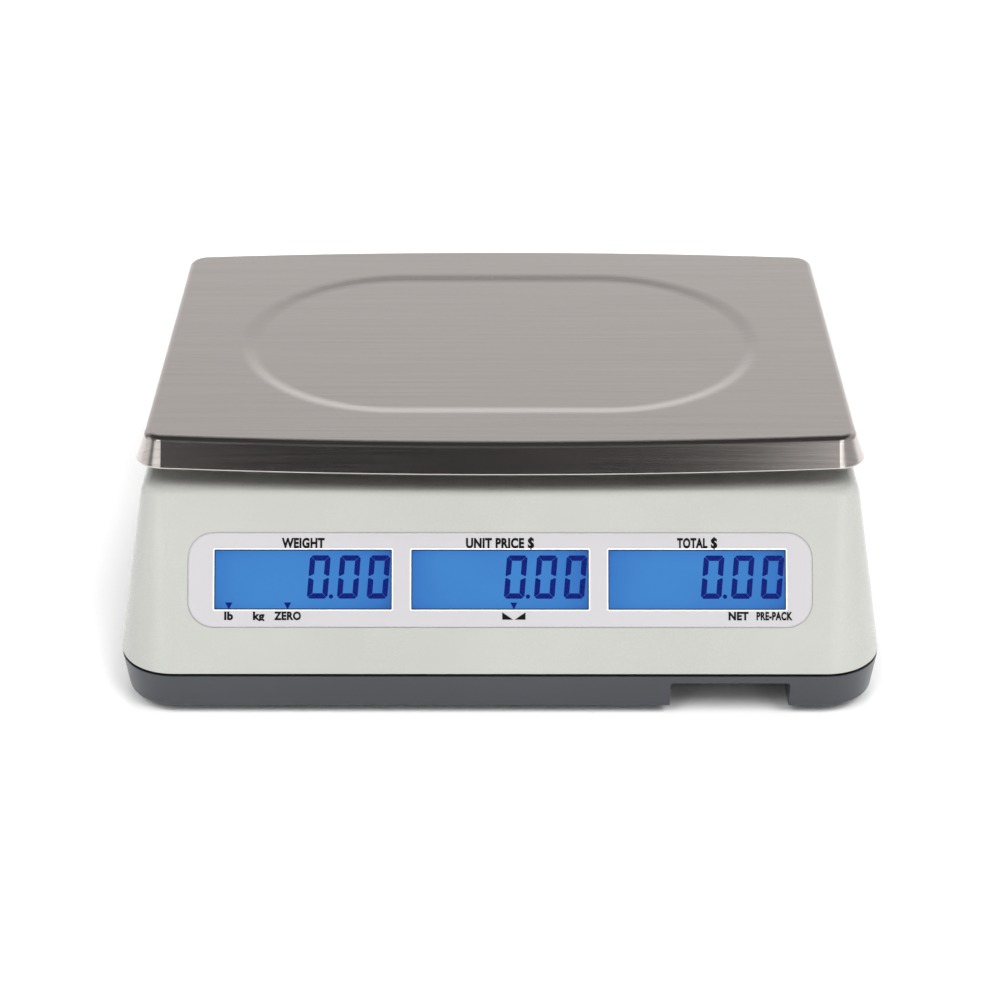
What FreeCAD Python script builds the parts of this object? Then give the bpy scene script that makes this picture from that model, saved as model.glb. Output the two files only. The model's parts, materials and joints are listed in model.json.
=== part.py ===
import FreeCAD, Part

import math
import os

import Sketcher
from FreeCAD import Placement, Rotation, Vector

# Retail counter scale that works out a price: a low two-part housing with a display on the
# customer's side and displays and keys on the seller's side, under a lift-off steel platter.
# Millimetres. +X to the right of the customer, -Y towards the customer, +Z up. The origin is on
# the counter, under the middle of the housing.

os.makedirs("parts", exist_ok=True)
doc = FreeCAD.newDocument("retail_price_scale")

DRIVING = {
    # housing, outside
    "body_width": 383.0,
    "body_depth": 376.0,
    "corner_radius": 29.0,
    "deck_corner_radius": 12.0,
    "foot_gap": 5.0,
    "parting_height": 24.1,
    "parting_gap": 1.0,
    "deck_height": 102.2,
    "deck_rear": 99.0,
    "face_lean": 32.0,
    "side_lean": 8.2,
    "panel_tilt": 31.5,
    "edge_rounding": 5.0,
    "upper_seam_rounding": 0.5,
    "lower_seam_rounding": 0.5,
    "wall": 3.0,
    "base_inset": 2.5,
    # platter
    "platter_centre": -19.5,
    "platter_height": 129.0,
    "platter_width": 350.0,
    "platter_depth": 230.9,
    "platter_bow": 7.05,
    "platter_corner": 7.0,
    "sheet": 1.2,
    "lip_start": 2.8,
    "lip_reach": 8.7,
    "lip_drop": 15.4,
    "lip_rounding": 4.0,
    "hem_rounding": 0.7,
    "dish_straight": 53.0,
    "dish_radius": 85.0,
    "dish_wall": 7.0,
    "dish_depth": 1.3,
    "dish_softness": 18.0,
    # load path
    "post_spacing_x": 240.0,
    "post_spacing_y": 160.0,
    "post_radius": 9.0,
    "post_hole_radius": 13.0,
    "cell_length": 130.0,
    "cell_width": 30.0,
    "cell_depth": 22.0,
    "cell_underside": 37.0,
    "cell_screw_radius": 2.95,
    "spacer_thick": 3.0,
    "arm_width": 18.0,
    "arm_depth": 10.0,
    "stop_gap": 0.4,
    "chassis_thick": 4.0,
    # feet
    "foot_x": 158.0,
    "foot_y": 135.0,
    "foot_socket_radius": 19.0,
    "foot_socket_depth": 6.5,
    "foot_disc_radius": 15.0,
    "foot_pad_thick": 4.0,
    "stud_radius": 3.95,
    "stud_length": 30.0,
    # displays
    "window_width": 88.6,
    "window_height": 30.0,
    "window_pitch": 98.2,
    "overlay_width": 311.0,
    "overlay_height": 47.0,
    "overlay_low": 23.7,
    "overlay_radius": 13.0,
    "overlay_thick": 0.5,
    "overlay_recess": 0.3,
    "window_low": 32.4,
    "lcd_thick": 2.8,
    "board_depth": 8.0,
    "board_thick": 1.6,
    # keys
    "key_height": 11.0,
    "key_width": 22.0,
    "wide_key_width": 34.0,
    "digit_first": 38.0,
    "digit_pitch": 29.0,
    "function_first": -118.0,
    "function_pitch": 45.0,
    "key_row_pitch": 15.0,
    "key_first_row": -57.0,
    "key_proud": 2.0,
    "key_gap": 0.3,
    # recess at the customer's edge of the base
    "notch_centre": 115.1,
    "notch_width": 59.8,
    "notch_height": 14.7,
    "notch_length": 25.0,
    # thread and press fits, on the radius
    "fit": 0.05,
}

sheet = doc.addObject("Spreadsheet::Sheet", "dims")
for row, (alias, number) in enumerate(DRIVING.items(), start=1):
    sheet.set(f"A{row}", alias)
    sheet.set(f"B{row}", str(number))
    sheet.setAlias(f"B{row}", alias)
doc.recompute()


class Size:
    """A length with its number and the sheet expression that gives the same number."""

    def __init__(self, number, text):
        self.number = number
        self.text = text

    def join(self, other, sign, number):
        return Size(number, f"({self.text} {sign} {size(other).text})")

    def __add__(self, other):
        return self.join(other, "+", self.number + size(other).number)

    def __sub__(self, other):
        return self.join(other, "-", self.number - size(other).number)

    def __mul__(self, other):
        return self.join(other, "*", self.number * size(other).number)

    def __truediv__(self, other):
        return self.join(other, "/", self.number / size(other).number)

    def __neg__(self):
        return size(0) - self

    def __radd__(self, other):
        return size(other) + self

    def __rsub__(self, other):
        return size(other) - self

    def __rmul__(self, other):
        return size(other) * self


def size(value):
    """A Size, whether value is one already or a plain number."""
    return value if isinstance(value, Size) else Size(float(value), repr(float(value)))


def cell(alias):
    """The Size held in the sheet's cell of that name."""
    return Size(DRIVING[alias], "dims." + alias)


def sine(angle):
    return Size(math.sin(math.radians(angle.number)), f"sin({angle.text})")


def cosine(angle):
    return Size(math.cos(math.radians(angle.number)), f"cos({angle.text})")


def tangent(angle):
    return Size(math.tan(math.radians(angle.number)), f"tan({angle.text})")


def bind(target, **sizes):
    """Tie properties to the sheet; double underscores stand for the dots of a property path."""
    for path, value in sizes.items():
        target.setExpression(path.replace("__", "."), size(value).text)


def place(target, x=0, y=0, z=0):
    bind(target, Placement__Base__x=x, Placement__Base__y=y, Placement__Base__z=z)
    return target


def box(name, x, y, z, length, width, height):
    """Box centred on x and y, standing on z."""
    made = doc.addObject("Part::Box", name)
    bind(made, Length=length, Width=width, Height=height)
    return place(made, x - size(length) / 2, y - size(width) / 2, z)


def cylinder(name, x, y, z, radius, height):
    made = doc.addObject("Part::Cylinder", name)
    bind(made, Radius=radius, Height=height)
    return place(made, x, y, z)


def crosswise(name, x, y, z, radius, length):
    """Cylinder with its axis along +Y, starting at y."""
    made = cylinder(name, x, y, z, radius, length)
    made.Placement.Rotation = Rotation(Vector(1, 0, 0), -90)
    return made


def sideways(name, x, y, z, radius, length):
    """Cylinder with its axis along +X, centred on x."""
    made = cylinder(name, x - size(length) / 2, y, z, radius, length)
    made.Placement.Rotation = Rotation(Vector(0, 1, 0), 90)
    return made


def fuse(name, pieces):
    made = doc.addObject("Part::MultiFuse", name)
    made.Shapes = pieces
    made.Refine = True
    return made


def group(name, pieces):
    """Separate solids kept side by side in one node."""
    made = doc.addObject("Part::Compound", name)
    made.Links = pieces
    return made


def cut(name, base, tool):
    made = doc.addObject("Part::Cut", name)
    made.Base = base
    made.Tool = tool
    made.Refine = True
    return made


def common(name, one, other):
    made = doc.addObject("Part::Common", name)
    made.Base = one
    made.Tool = other
    return made


def is_upright(edge):
    return abs(edge.Vertexes[0].Z - edge.Vertexes[-1].Z) > 1e-6 and edge.Length < 1e3


def round_edges(name, base, radius, wanted):
    """Fillet of every edge of base that wanted says yes to."""
    doc.recompute()
    made = doc.addObject("Part::Fillet", name)
    made.Base = base
    chosen = [i for i, edge in enumerate(base.Shape.Edges, start=1) if wanted(edge)]
    made.Edges = [(i, size(radius).number, size(radius).number) for i in chosen]
    return made


def plate(name, x, y, z, length, width, height, radius):
    """Box with rounded upright edges."""
    return round_edges(name, box(name + "_block", x, y, z, length, width, height), radius, is_upright)


def screw(name, x, y, seat, head_radius, head_height, radius, length, up=True):
    """Screw whose head's underside is at seat; up tells which way the shank points."""
    sign = 1 if up else -1
    head_low = seat - head_height if up else seat
    shank_low = seat if up else seat - length
    head = cylinder(name + "_head", x, y, head_low, head_radius, head_height)
    shank = cylinder(name + "_shank", x, y, shank_low, radius, length)
    socket_low = seat - sign * head_height if up else seat + size(head_height) / 2
    slot = box(name + "_slot", x, y, socket_low, size(head_radius) * 1.3, 1.0, size(head_height) / 2)
    return cut(name, fuse(name + "_whole", [head, shank]), slot)


PARTS = []


def part(node, made):
    """Mark a finished sub-part and give it the node's name."""
    made.Label = node
    PARTS.append((node, made))
    return made


# ---------------------------------------------------------------- shared sizes

half_width = cell("body_width") / 2
half_depth = cell("body_depth") / 2
wall = cell("wall")
base_low = cell("foot_gap")
base_high = cell("parting_height")
shell_low = base_high + cell("parting_gap")
deck = cell("deck_height")
floor_top = base_low + wall
platter_y = cell("platter_centre")
platter_top = cell("platter_height")
fit = cell("fit")
post_x = cell("post_spacing_x") / 2
post_y = cell("post_spacing_y") / 2
POSTS = [(sx * post_x, platter_y + sy * post_y) for sx in (-1, 1) for sy in (-1, 1)]
WINDOWS = [column * cell("window_pitch") for column in (-1, 0, 1)]
# posts that the housing screws join, and how far above the parting line the two halves meet
BOSS_JOINT = 3.5
BOSSES = [(-170, -165), (170, -165), (-171, 0), (171, 0), (-170, 165), (170, 165)]
CORNERS = {"front_left": (-1, -1), "front_right": (1, -1), "rear_left": (-1, 1), "rear_right": (1, 1)}
# longer than any wall a hole goes through, and wider than the housing
THROUGH, BEYOND = 30, 500
# head radius and head height, and the shank radius where it does not depend on the sheet
CELL_SCREW_HEAD = (5, 6)
CHASSIS_SCREW_HEAD = (3.8, 2.6)
HOUSING_SCREW = (3.9, 2.8, 1.55)
BOARD_SCREW = (2.6, 1.8, 1.2)
DOOR_SCREW = (2.8, 1.6, 1.25)
BOARD_SCREW_PILOT, BOARD_SCREW_HOLE = 1.25, 1.6


def on_customer_face(made):
    """Move a piece from the face's own frame (x across, y up the slope, z out) to its place."""
    made.Placement.Rotation = Rotation(Vector(1, 0, 0), 1)
    bind(made, Placement__Rotation__Angle=90 - cell("face_lean"))
    return place(made, 0, -half_depth, shell_low)


def on_seller_panel(made):
    """Move a piece from the panel's own frame (x across, y up the slope, z out) to its place."""
    turn = Rotation(Vector(0, 0, 1), 180) * Rotation(Vector(1, 0, 0), DRIVING["panel_tilt"])
    made.Placement.Rotation = turn
    return place(made, 0, cell("deck_rear"), deck)


# ---------------------------------------------------------------- outlines

def start_sketch(body, name, height):
    """Sketch lying level at that height: in a body, or on its own when body is None."""
    if body is None:
        drawn = doc.addObject("Sketcher::SketchObject", name)
        return place(drawn, 0, 0, height)
    drawn = body.newObject("Sketcher::SketchObject", name)
    level = [plane for plane in body.Origin.OriginFeatures if plane.Role == "XY_Plane"][0]
    drawn.AttachmentSupport = [(level, "")]
    drawn.MapMode = "FlatFace"
    bind(drawn, AttachmentOffset__Base__z=height)
    return drawn


def constrain(drawn, *terms, value=None):
    """Add a Sketcher constraint; a value is tied to the sheet."""
    if value is None:
        drawn.addConstraint(Sketcher.Constraint(*terms))
        return
    index = drawn.addConstraint(Sketcher.Constraint(*terms, size(value).number))
    drawn.setExpression(f"Constraints[{index}]", size(value).text)


def arc(centre_x, centre_y, radius, start, end):
    circle = Part.Circle(Vector(centre_x, centre_y, 0), Vector(0, 0, 1), radius)
    return Part.ArcOfCircle(circle, math.radians(start), math.radians(end))


def line(x1, y1, x2, y2):
    return Part.LineSegment(Vector(x1, y1, 0), Vector(x2, y2, 0))


START, END, CENTRE = 1, 2, 3
ORIGIN = (-1, 1)
X_AXIS, Y_AXIS = -1, -2


def close_ring(drawn, count):
    """Make each of the first count edges tangent to the next, all the way round."""
    for i in range(count):
        constrain(drawn, "Tangent", i, END, (i + 1) % count, START)


def rounded_outline(name, height, half_x, front, rear, radius, body=None):
    """Rounded rectangle from -half_x to half_x and from y = front to y = rear."""
    drawn = start_sketch(body, name, height)
    hx, yf, yr, r = (size(v).number for v in (half_x, front, rear, radius))
    ring = [
        line(-hx + r, yf, hx - r, yf), arc(hx - r, yf + r, r, -90, 0),
        line(hx, yf + r, hx, yr - r), arc(hx - r, yr - r, r, 0, 90),
        line(hx - r, yr, -hx + r, yr), arc(-hx + r, yr - r, r, 90, 180),
        line(-hx, yr - r, -hx, yf + r), arc(-hx + r, yf + r, r, 180, 270),
    ]
    drawn.addGeometry(ring, False)
    close_ring(drawn, 8)
    for level_edge in (0, 4):
        constrain(drawn, "Horizontal", level_edge)
    for upright_edge in (2, 6):
        constrain(drawn, "Vertical", upright_edge)
    for corner in (3, 5, 7):
        constrain(drawn, "Equal", 1, corner)
    constrain(drawn, "Radius", 1, value=radius)
    constrain(drawn, "DistanceX", *ORIGIN, 2, START, value=half_x)
    constrain(drawn, "DistanceX", 6, START, *ORIGIN, value=half_x)
    constrain(drawn, "DistanceY", *ORIGIN, 0, START, value=front)
    constrain(drawn, "DistanceY", *ORIGIN, 4, START, value=rear)
    return drawn


def bowed_outline(name, height, grow, corner, body):
    """The platter's outline grown by a distance: straight short sides, bowed long sides."""
    drawn = start_sketch(body, name, height)
    bow = cell("platter_bow")
    half_chord = cell("platter_width") / 2
    bow_radius = (half_chord * half_chord + bow * bow) / (2 * bow) + grow
    half_x = half_chord + grow
    reach = bow_radius - (cell("platter_depth") / 2 + grow)
    hx, r, big, off = (size(v).number for v in (half_x, corner, bow_radius, reach))
    corner_y = math.sqrt((big - r) ** 2 - (hx - r) ** 2) - off
    swing = math.degrees(math.asin((hx - r) / (big - r)))
    ring = [
        arc(0, off, big, 270 - swing, 270 + swing),
        arc(hx - r, -corner_y, r, swing - 90, 0),
        line(hx, -corner_y, hx, corner_y),
        arc(hx - r, corner_y, r, 0, 90 - swing),
        arc(0, -off, big, 90 - swing, 90 + swing),
        arc(-hx + r, corner_y, r, 90 + swing, 180),
        line(-hx, corner_y, -hx, -corner_y),
        arc(-hx + r, -corner_y, r, 180, 270 - swing),
    ]
    drawn.addGeometry(ring, False)
    close_ring(drawn, 8)
    for upright_edge in (2, 6):
        constrain(drawn, "Vertical", upright_edge)
    for corner_edge in (3, 5, 7):
        constrain(drawn, "Equal", 1, corner_edge)
    constrain(drawn, "Equal", 0, 4)
    constrain(drawn, "Radius", 1, value=corner)
    constrain(drawn, "Radius", 0, value=bow_radius)
    constrain(drawn, "PointOnObject", 0, CENTRE, Y_AXIS)
    constrain(drawn, "DistanceX", *ORIGIN, 2, START, value=half_x)
    constrain(drawn, "DistanceX", 6, START, *ORIGIN, value=half_x)
    constrain(drawn, "DistanceY", *ORIGIN, 0, CENTRE, value=reach)
    constrain(drawn, "DistanceY", 4, CENTRE, *ORIGIN, value=reach)
    return drawn


def stadium_outline(name, height, radius, body):
    """Two half circles joined by straight sides along X."""
    drawn = start_sketch(body, name, height)
    half_x, r = cell("dish_straight"), size(radius)
    a, b = half_x.number, r.number
    ring = [line(-a, -b, a, -b), arc(a, 0, b, -90, 90), line(a, b, -a, b), arc(-a, 0, b, 90, 270)]
    drawn.addGeometry(ring, False)
    close_ring(drawn, 4)
    constrain(drawn, "Horizontal", 0)
    constrain(drawn, "Equal", 1, 3)
    constrain(drawn, "Radius", 1, value=r)
    constrain(drawn, "DistanceX", *ORIGIN, 1, CENTRE, value=half_x)
    constrain(drawn, "DistanceX", 3, CENTRE, *ORIGIN, value=half_x)
    constrain(drawn, "PointOnObject", 1, CENTRE, X_AXIS)
    return drawn


def loft(name, sections):
    made = doc.addObject("Part::Loft", name)
    made.Sections = sections
    made.Solid = True
    made.Ruled = True
    return made


def body_loft(body, name, kind, sections):
    """Additive or subtractive loft from the first section to the last."""
    made = body.newObject("PartDesign::" + kind, name)
    made.Profile = sections[0]
    made.Sections = sections[1:]
    made.Ruled = True
    return made


def body_fillet(body, name, base, radius, wanted):
    doc.recompute()
    made = body.newObject("PartDesign::Fillet", name)
    edges = [f"Edge{i}" for i, edge in enumerate(base.Shape.Edges, start=1) if wanted(edge)]
    made.Base = (base, edges)
    bind(made, Radius=radius)
    return made


def lies_at(edge, height):
    return all(abs(vertex.Z - height) < 1e-4 for vertex in edge.Vertexes)


# ---------------------------------------------------------------- platter

def make_platter():
    """Pressed sheet with a rolled lip and a shallow dish; its underside is open."""
    body = doc.addObject("PartDesign::Body", "platter")
    sheet_thick = cell("sheet")
    under = platter_top - sheet_thick
    hem = platter_top - cell("lip_drop")
    start, reach = cell("lip_start"), cell("lip_reach")
    corner = cell("platter_corner")
    outer = body_loft(body, "press_outside", "AdditiveLoft", [
        bowed_outline("top_edge", platter_top, start, corner + start, body),
        bowed_outline("hem_edge", hem, reach, corner + reach, body),
    ])
    rounded = body_fillet(body, "lip_roll", outer, cell("lip_rounding"),
                          lambda edge: lies_at(edge, platter_top.number))
    body_fillet(body, "hem_roll", rounded, cell("hem_rounding"), lambda edge: lies_at(edge, hem.number))
    inner = body_loft(body, "press_inside", "SubtractiveLoft", [
        bowed_outline("inner_top", under, start - 0.8, corner + start - 0.8, body),
        bowed_outline("inner_hem", hem, reach - 1.25, corner + reach - 1.25, body),
    ])
    radius, drop = cell("dish_radius"), cell("dish_depth")
    low = radius - cell("dish_wall")
    body_loft(body, "dish_underside", "AdditiveLoft", [
        stadium_outline("swell_edge", under, radius, body),
        stadium_outline("swell_floor", under - drop, low, body),
    ])
    dish = body_loft(body, "dish_top", "SubtractiveLoft", [
        stadium_outline("dish_edge", platter_top, radius, body),
        stadium_outline("dish_floor", platter_top - drop, low, body),
    ])
    dish_levels = [platter_top.number, platter_top.number - drop.number]
    limit = DRIVING["dish_radius"] + 1
    body_fillet(body, "dish_soft_edges", dish, cell("dish_softness"),
                lambda edge: any(lies_at(edge, z) for z in dish_levels)
                and max(abs(v.Y) for v in edge.Vertexes) < limit
                and abs(edge.CenterOfMass.y) < limit)
    return part("platter", place(body, 0, platter_y, 0))


def make_load_path():
    cell_low = cell("cell_underside")
    cell_high = cell_low + cell("cell_depth")
    thin = cell("spacer_thick")
    hub_low = cell_high + thin
    hub_high = hub_low + cell("arm_depth")
    under = platter_top - cell("sheet")
    screw_radius = cell("cell_screw_radius")
    tapped = screw_radius + fit
    fixed_x, free_x = -48, 48
    pair_x = 9
    screw_xs = [fixed_x - pair_x, fixed_x + pair_x, free_x - pair_x, free_x + pair_x]
    thread_depth, hole_depth = 12, 12.5

    # cups welded under the platter, which keep it square on the pads
    pad_radius = cell("post_radius") + 2
    cup_play, cup_wall, cup_depth = 0.5, 1.2, 3
    rings = []
    for i, (x, y) in enumerate(POSTS):
        ring = cylinder(f"cup{i}", x, y, under - cup_depth, pad_radius + cup_play + cup_wall, cup_depth)
        hole = cylinder(f"cup_hole{i}", x, y, under - cup_depth, pad_radius + cup_play, cup_depth)
        rings.append(cut(f"cup_ring{i}", ring, hole))
    part("platter_locating_cups", group("locating_cups", rings))

    # rubber pads on the posts
    pad_height, spigot_radius, spigot_height = 9.8, 4, 6
    post_high = under - pad_height
    pads = []
    for i, (x, y) in enumerate(POSTS):
        pad = cylinder(f"pad{i}", x, y, post_high, pad_radius, pad_height)
        hole = cylinder(f"pad_hole{i}", x, y, post_high, spigot_radius + fit, spigot_height + fit)
        soft = round_edges(f"pad_soft{i}", pad, 1.0, lambda edge: lies_at(edge, under.number))
        pads.append(cut(f"pad_ring{i}", soft, hole))
    part("platter_pads", group("pads", pads))

    # cast cross with four posts
    angle = math.degrees(math.atan2(post_y.number, post_x.number))
    reach = 2 * math.hypot(post_x.number, post_y.number)
    solids = [box("hub", 12, platter_y, hub_low, 114, 54, cell("arm_depth"))]
    for i, turn in enumerate((angle, -angle)):
        for name, breadth, low, tall in (("arm", cell("arm_width"), hub_low, cell("arm_depth")),
                                         ("rib", 4, hub_high, 8)):
            bar = doc.addObject("Part::Box", f"{name}{i}")
            bind(bar, Length=reach, Width=breadth, Height=tall)
            bar.Placement.Rotation = Rotation(Vector(0, 0, 1), turn)
            shift = bar.Placement.Rotation.multVec(Vector(-reach / 2, -size(breadth).number / 2, 0))
            solids.append(place(bar, shift.x, platter_y + shift.y, low))
    for i, (x, y) in enumerate(POSTS):
        solids.append(cylinder(f"post{i}", x, y, hub_low, cell("post_radius"), post_high - hub_low))
        solids.append(cylinder(f"spigot{i}", x, y, post_high, spigot_radius, spigot_height))
        foot = doc.addObject("Part::Cone", f"post_root{i}")
        bind(foot, Radius1=cell("post_radius") + 4, Radius2=cell("post_radius"), Height=14)
        solids.append(place(foot, x, y, hub_low))
    holes = []
    seat, sink_radius = hub_low + 5, 5.4
    for i, x in enumerate(screw_xs[2:]):
        holes.append(cylinder(f"hub_sink{i}", x, platter_y, seat, sink_radius, THROUGH))
        holes.append(cylinder(f"hub_hole{i}", x, platter_y, hub_low, tapped, THROUGH))
    part("platter_support", cut("cross", fuse("cross_whole", solids), fuse("cross_holes", holes)))

    # load cell: a bar with two joined bores that leave four thin bending necks
    bar = doc.addObject("PartDesign::Body", "load_cell_bar")
    blank = bar.newObject("Sketcher::SketchObject", "bar_section")
    side = [plane for plane in bar.Origin.OriginFeatures if plane.Role == "XZ_Plane"][0]
    blank.AttachmentSupport = [(side, "")]
    blank.MapMode = "FlatFace"
    half_length = cell("cell_length") / 2
    a, lo, hi = half_length.number, cell_low.number, cell_high.number
    corners = [(-a, lo), (a, lo), (a, hi), (-a, hi)]
    blank.addGeometry([line(*corners[i], *corners[(i + 1) % 4]) for i in range(4)], False)
    for i in range(4):
        constrain(blank, "Coincident", i, END, (i + 1) % 4, START)
    for i in (0, 2):
        constrain(blank, "Horizontal", i)
        constrain(blank, "Vertical", i + 1)
    constrain(blank, "DistanceX", *ORIGIN, 1, START, value=half_length)
    constrain(blank, "DistanceX", 3, START, *ORIGIN, value=half_length)
    constrain(blank, "DistanceY", *ORIGIN, 0, START, value=cell_low)
    constrain(blank, "DistanceY", *ORIGIN, 2, START, value=cell_high)
    pad = bar.newObject("PartDesign::Pad", "bar_pad")
    pad.Profile = blank
    pad.SideType = "Symmetric"
    bind(pad, Length=cell("cell_width"))
    place(bar, 0, platter_y, 0)
    neck, bore_x, slot_height = 1.8, 13, 6
    bore = cell("cell_depth") / 2 - neck
    middle = cell_low + cell("cell_depth") / 2
    reach_y = cell("cell_width")
    front = platter_y - reach_y / 2
    openings = [
        crosswise(f"cell_bore{i}", sign * bore_x, front, middle, bore, reach_y)
        for i, sign in enumerate((-1, 1))
    ]
    slot_low = middle - slot_height / 2
    openings.append(box("cell_slot", 0, platter_y, slot_low, 2 * bore_x, reach_y, slot_height))
    for i, x in enumerate(screw_xs[:2]):
        openings.append(cylinder(f"cell_low_hole{i}", x, platter_y, cell_low, tapped, hole_depth))
    for i, x in enumerate(screw_xs[2:]):
        low = cell_high - hole_depth
        openings.append(cylinder(f"cell_high_hole{i}", x, platter_y, low, tapped, hole_depth))
    part("load_cell", cut("load_cell_cut", bar, fuse("cell_openings", openings)))

    # spacers at the fixed and the free end
    spacers = []
    for end, x, low in (("fixed", fixed_x, cell_low - thin), ("free", free_x, cell_high)):
        block = box(f"{end}_spacer_block", x, platter_y, low, 34, cell("cell_width"), thin)
        pair = fuse(f"{end}_spacer_holes", [
            cylinder(f"{end}_spacer_hole{i}", x + sign * pair_x, platter_y, low, tapped, thin)
            for i, sign in enumerate((-1, 1))
        ])
        spacers.append(cut(f"{end}_spacer", block, pair))
    part("load_cell_spacers", group("spacers", spacers))

    # chassis: cast plate with a pedestal and four overload pillars
    chassis_low = floor_top + 3
    plate_high = chassis_low + cell("chassis_thick")
    pedestal_high = cell_low - thin
    pillar_high = hub_low - 8
    inward, stop_radius, stop_depth = 0.78, 2.5, 15
    stop_x, stop_y = post_x * inward, post_y * inward
    stops = [(sx * stop_x, platter_y + sy * stop_y) for sx in (-1, 1) for sy in (-1, 1)]
    solids = [
        plate("chassis_plate", 0, platter_y, chassis_low, 212, 144, cell("chassis_thick"), 8),
        box("pedestal", fixed_x, platter_y, plate_high, 36, 36, pedestal_high - plate_high),
        box("pedestal_rib", fixed_x + 30, platter_y, plate_high, 40, 4, 12),
    ]
    for i, (x, y) in enumerate(stops):
        solids.append(cylinder(f"pillar{i}", x, y, plate_high, 6.5, pillar_high - plate_high))
    low_seat = chassis_low + 6.5
    holes = []
    for i, x in enumerate(screw_xs[:2]):
        holes.append(cylinder(f"low_sink{i}", x, platter_y, chassis_low, sink_radius, low_seat - chassis_low))
        holes.append(cylinder(f"low_hole{i}", x, platter_y, low_seat, tapped, pedestal_high - low_seat))
    for i, (x, y) in enumerate(stops):
        holes.append(cylinder(f"stop_hole{i}", x, y, pillar_high - stop_depth, stop_radius, stop_depth))
    fixings = [(-98, platter_y), (98, platter_y), (0, platter_y - 64), (0, platter_y + 64)]
    for i, (x, y) in enumerate(fixings):
        holes.append(cylinder(f"chassis_hole{i}", x, y, chassis_low, 2.0, 10))
    part("chassis", cut("chassis_cut", fuse("chassis_whole", solids), fuse("chassis_holes", holes)))

    # fasteners of the load path
    low_length = cell_low + thread_depth - low_seat
    high_length = seat - cell_high + thread_depth
    cell_screws = [
        screw(f"low_screw{i}", x, platter_y, low_seat, *CELL_SCREW_HEAD, screw_radius, low_length)
        for i, x in enumerate(screw_xs[:2])
    ]
    cell_screws += [
        screw(f"high_screw{i}", x, platter_y, seat, *CELL_SCREW_HEAD, screw_radius, high_length, up=False)
        for i, x in enumerate(screw_xs[2:])
    ]
    part("load_cell_screws", group("cell_screws", cell_screws))
    stop_screws = []
    head_height = 3.5
    seat_low = hub_low - cell("stop_gap") - head_height
    shank_low = pillar_high - stop_depth + 1
    for i, (x, y) in enumerate(stops):
        nut = doc.addObject("Part::Prism", f"stop_nut{i}")
        nut.Polygon = 6
        bind(nut, Circumradius=4.6, Height=3)
        place(nut, x, y, pillar_high)
        shank = cylinder(f"stop_shank{i}", x, y, shank_low, stop_radius - fit, seat_low - shank_low)
        head = cylinder(f"stop_head{i}", x, y, seat_low, 4.5, head_height)
        stop_screws.append(fuse(f"stop_screw{i}", [nut, shank, head]))
    part("overload_stop_screws", group("stop_screws", stop_screws))
    fixing_screws = [
        screw(f"chassis_screw{i}", x, y, base_low + 3.5, *CHASSIS_SCREW_HEAD, 2 - fit, 9.4)
        for i, (x, y) in enumerate(fixings)
    ]
    part("chassis_screws", group("fixing_screws", fixing_screws))
    return fixings


# ---------------------------------------------------------------- upper housing

def hull(name, low, high, inset):
    """Leaning block inside the housing's faces by the inset, below the seller's panel."""
    sections = []
    for which, height in (("low", low), ("high", high)):
        rise = size(height) - shell_low
        side = rise * tangent(cell("side_lean")) + inset / cosine(cell("side_lean"))
        front = rise * tangent(cell("face_lean")) + inset / cosine(cell("face_lean"))
        shrink = (cell("corner_radius") - cell("deck_corner_radius")) / (deck - shell_low)
        radius = cell("corner_radius") - inset - rise * shrink
        sections.append(rounded_outline(f"{name}_{which}", height, half_width - side,
                                        front - half_depth, half_depth - side, radius))
    above = box(name + "_above", 0, -40, -inset, BEYOND, 400, BEYOND)
    above_panel = on_seller_panel(group(name + "_above_panel", [above]))
    return cut(name, loft(name + "_block", sections), above_panel)


def make_upper_housing():
    outside = hull("outside", shell_low, deck, size(0))
    rounded = round_edges("outside_rounded", outside, cell("edge_rounding"), is_top_edge)
    rounded = round_edges("outside_seam", rounded, cell("upper_seam_rounding"),
                          lambda edge: lies_at(edge, shell_low.number))
    inside = hull("inside", shell_low, deck - wall, wall)
    shell = cut("shell", rounded, inside)
    boss_low = base_high + BOSS_JOINT
    posts = [cylinder(f"upper_boss{i}", x, y, boss_low, 4.6, deck) for i, (x, y) in enumerate(BOSSES)]
    bosses = common("upper_bosses", fuse("upper_boss_rods", posts), outside)
    hole_radius = cell("post_hole_radius")
    collars = [cylinder(f"collar{i}", x, y, deck - 1, hole_radius + 2, 4) for i, (x, y) in enumerate(POSTS)]
    stems = on_customer_face(group("customer_stems", board_stems("customer", CUSTOMER_SCREWS)))
    more = on_seller_panel(group("seller_stems", board_stems("seller", SELLER_SCREWS)))
    whole = fuse("upper_whole", [shell, bosses, stems, more] + collars)
    under_deck = deck - THROUGH / 2
    holes = [
        cylinder(f"post_hole{i}", x, y, under_deck, hole_radius, THROUGH) for i, (x, y) in enumerate(POSTS)
    ]
    holes += [cylinder(f"upper_pilot{i}", x, y, boss_low, 1.6, 20) for i, (x, y) in enumerate(BOSSES)]
    holes.append(cylinder("level_hole", *LEVEL, under_deck, LEVEL_HOLE_RADIUS, THROUGH))
    face_tools = on_customer_face(fuse("customer_tools", display_tools("customer", CUSTOMER_WINDOW_LOW)
                                       + [overlay_recess("customer", *CUSTOMER_OVERLAY)]
                                       + stem_holes("customer", CUSTOMER_SCREWS)))
    panel_tools = on_seller_panel(fuse("seller_tools", display_tools("seller", SELLER_WINDOW_LOW)
                                       + [overlay_recess("seller", *SELLER_OVERLAY)]
                                       + stem_holes("seller", SELLER_SCREWS) + key_holes("housing")))
    tools = fuse("upper_tools", holes + [face_tools, panel_tools])
    return part("upper_housing", cut("upper_shell", whole, tools))


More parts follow.
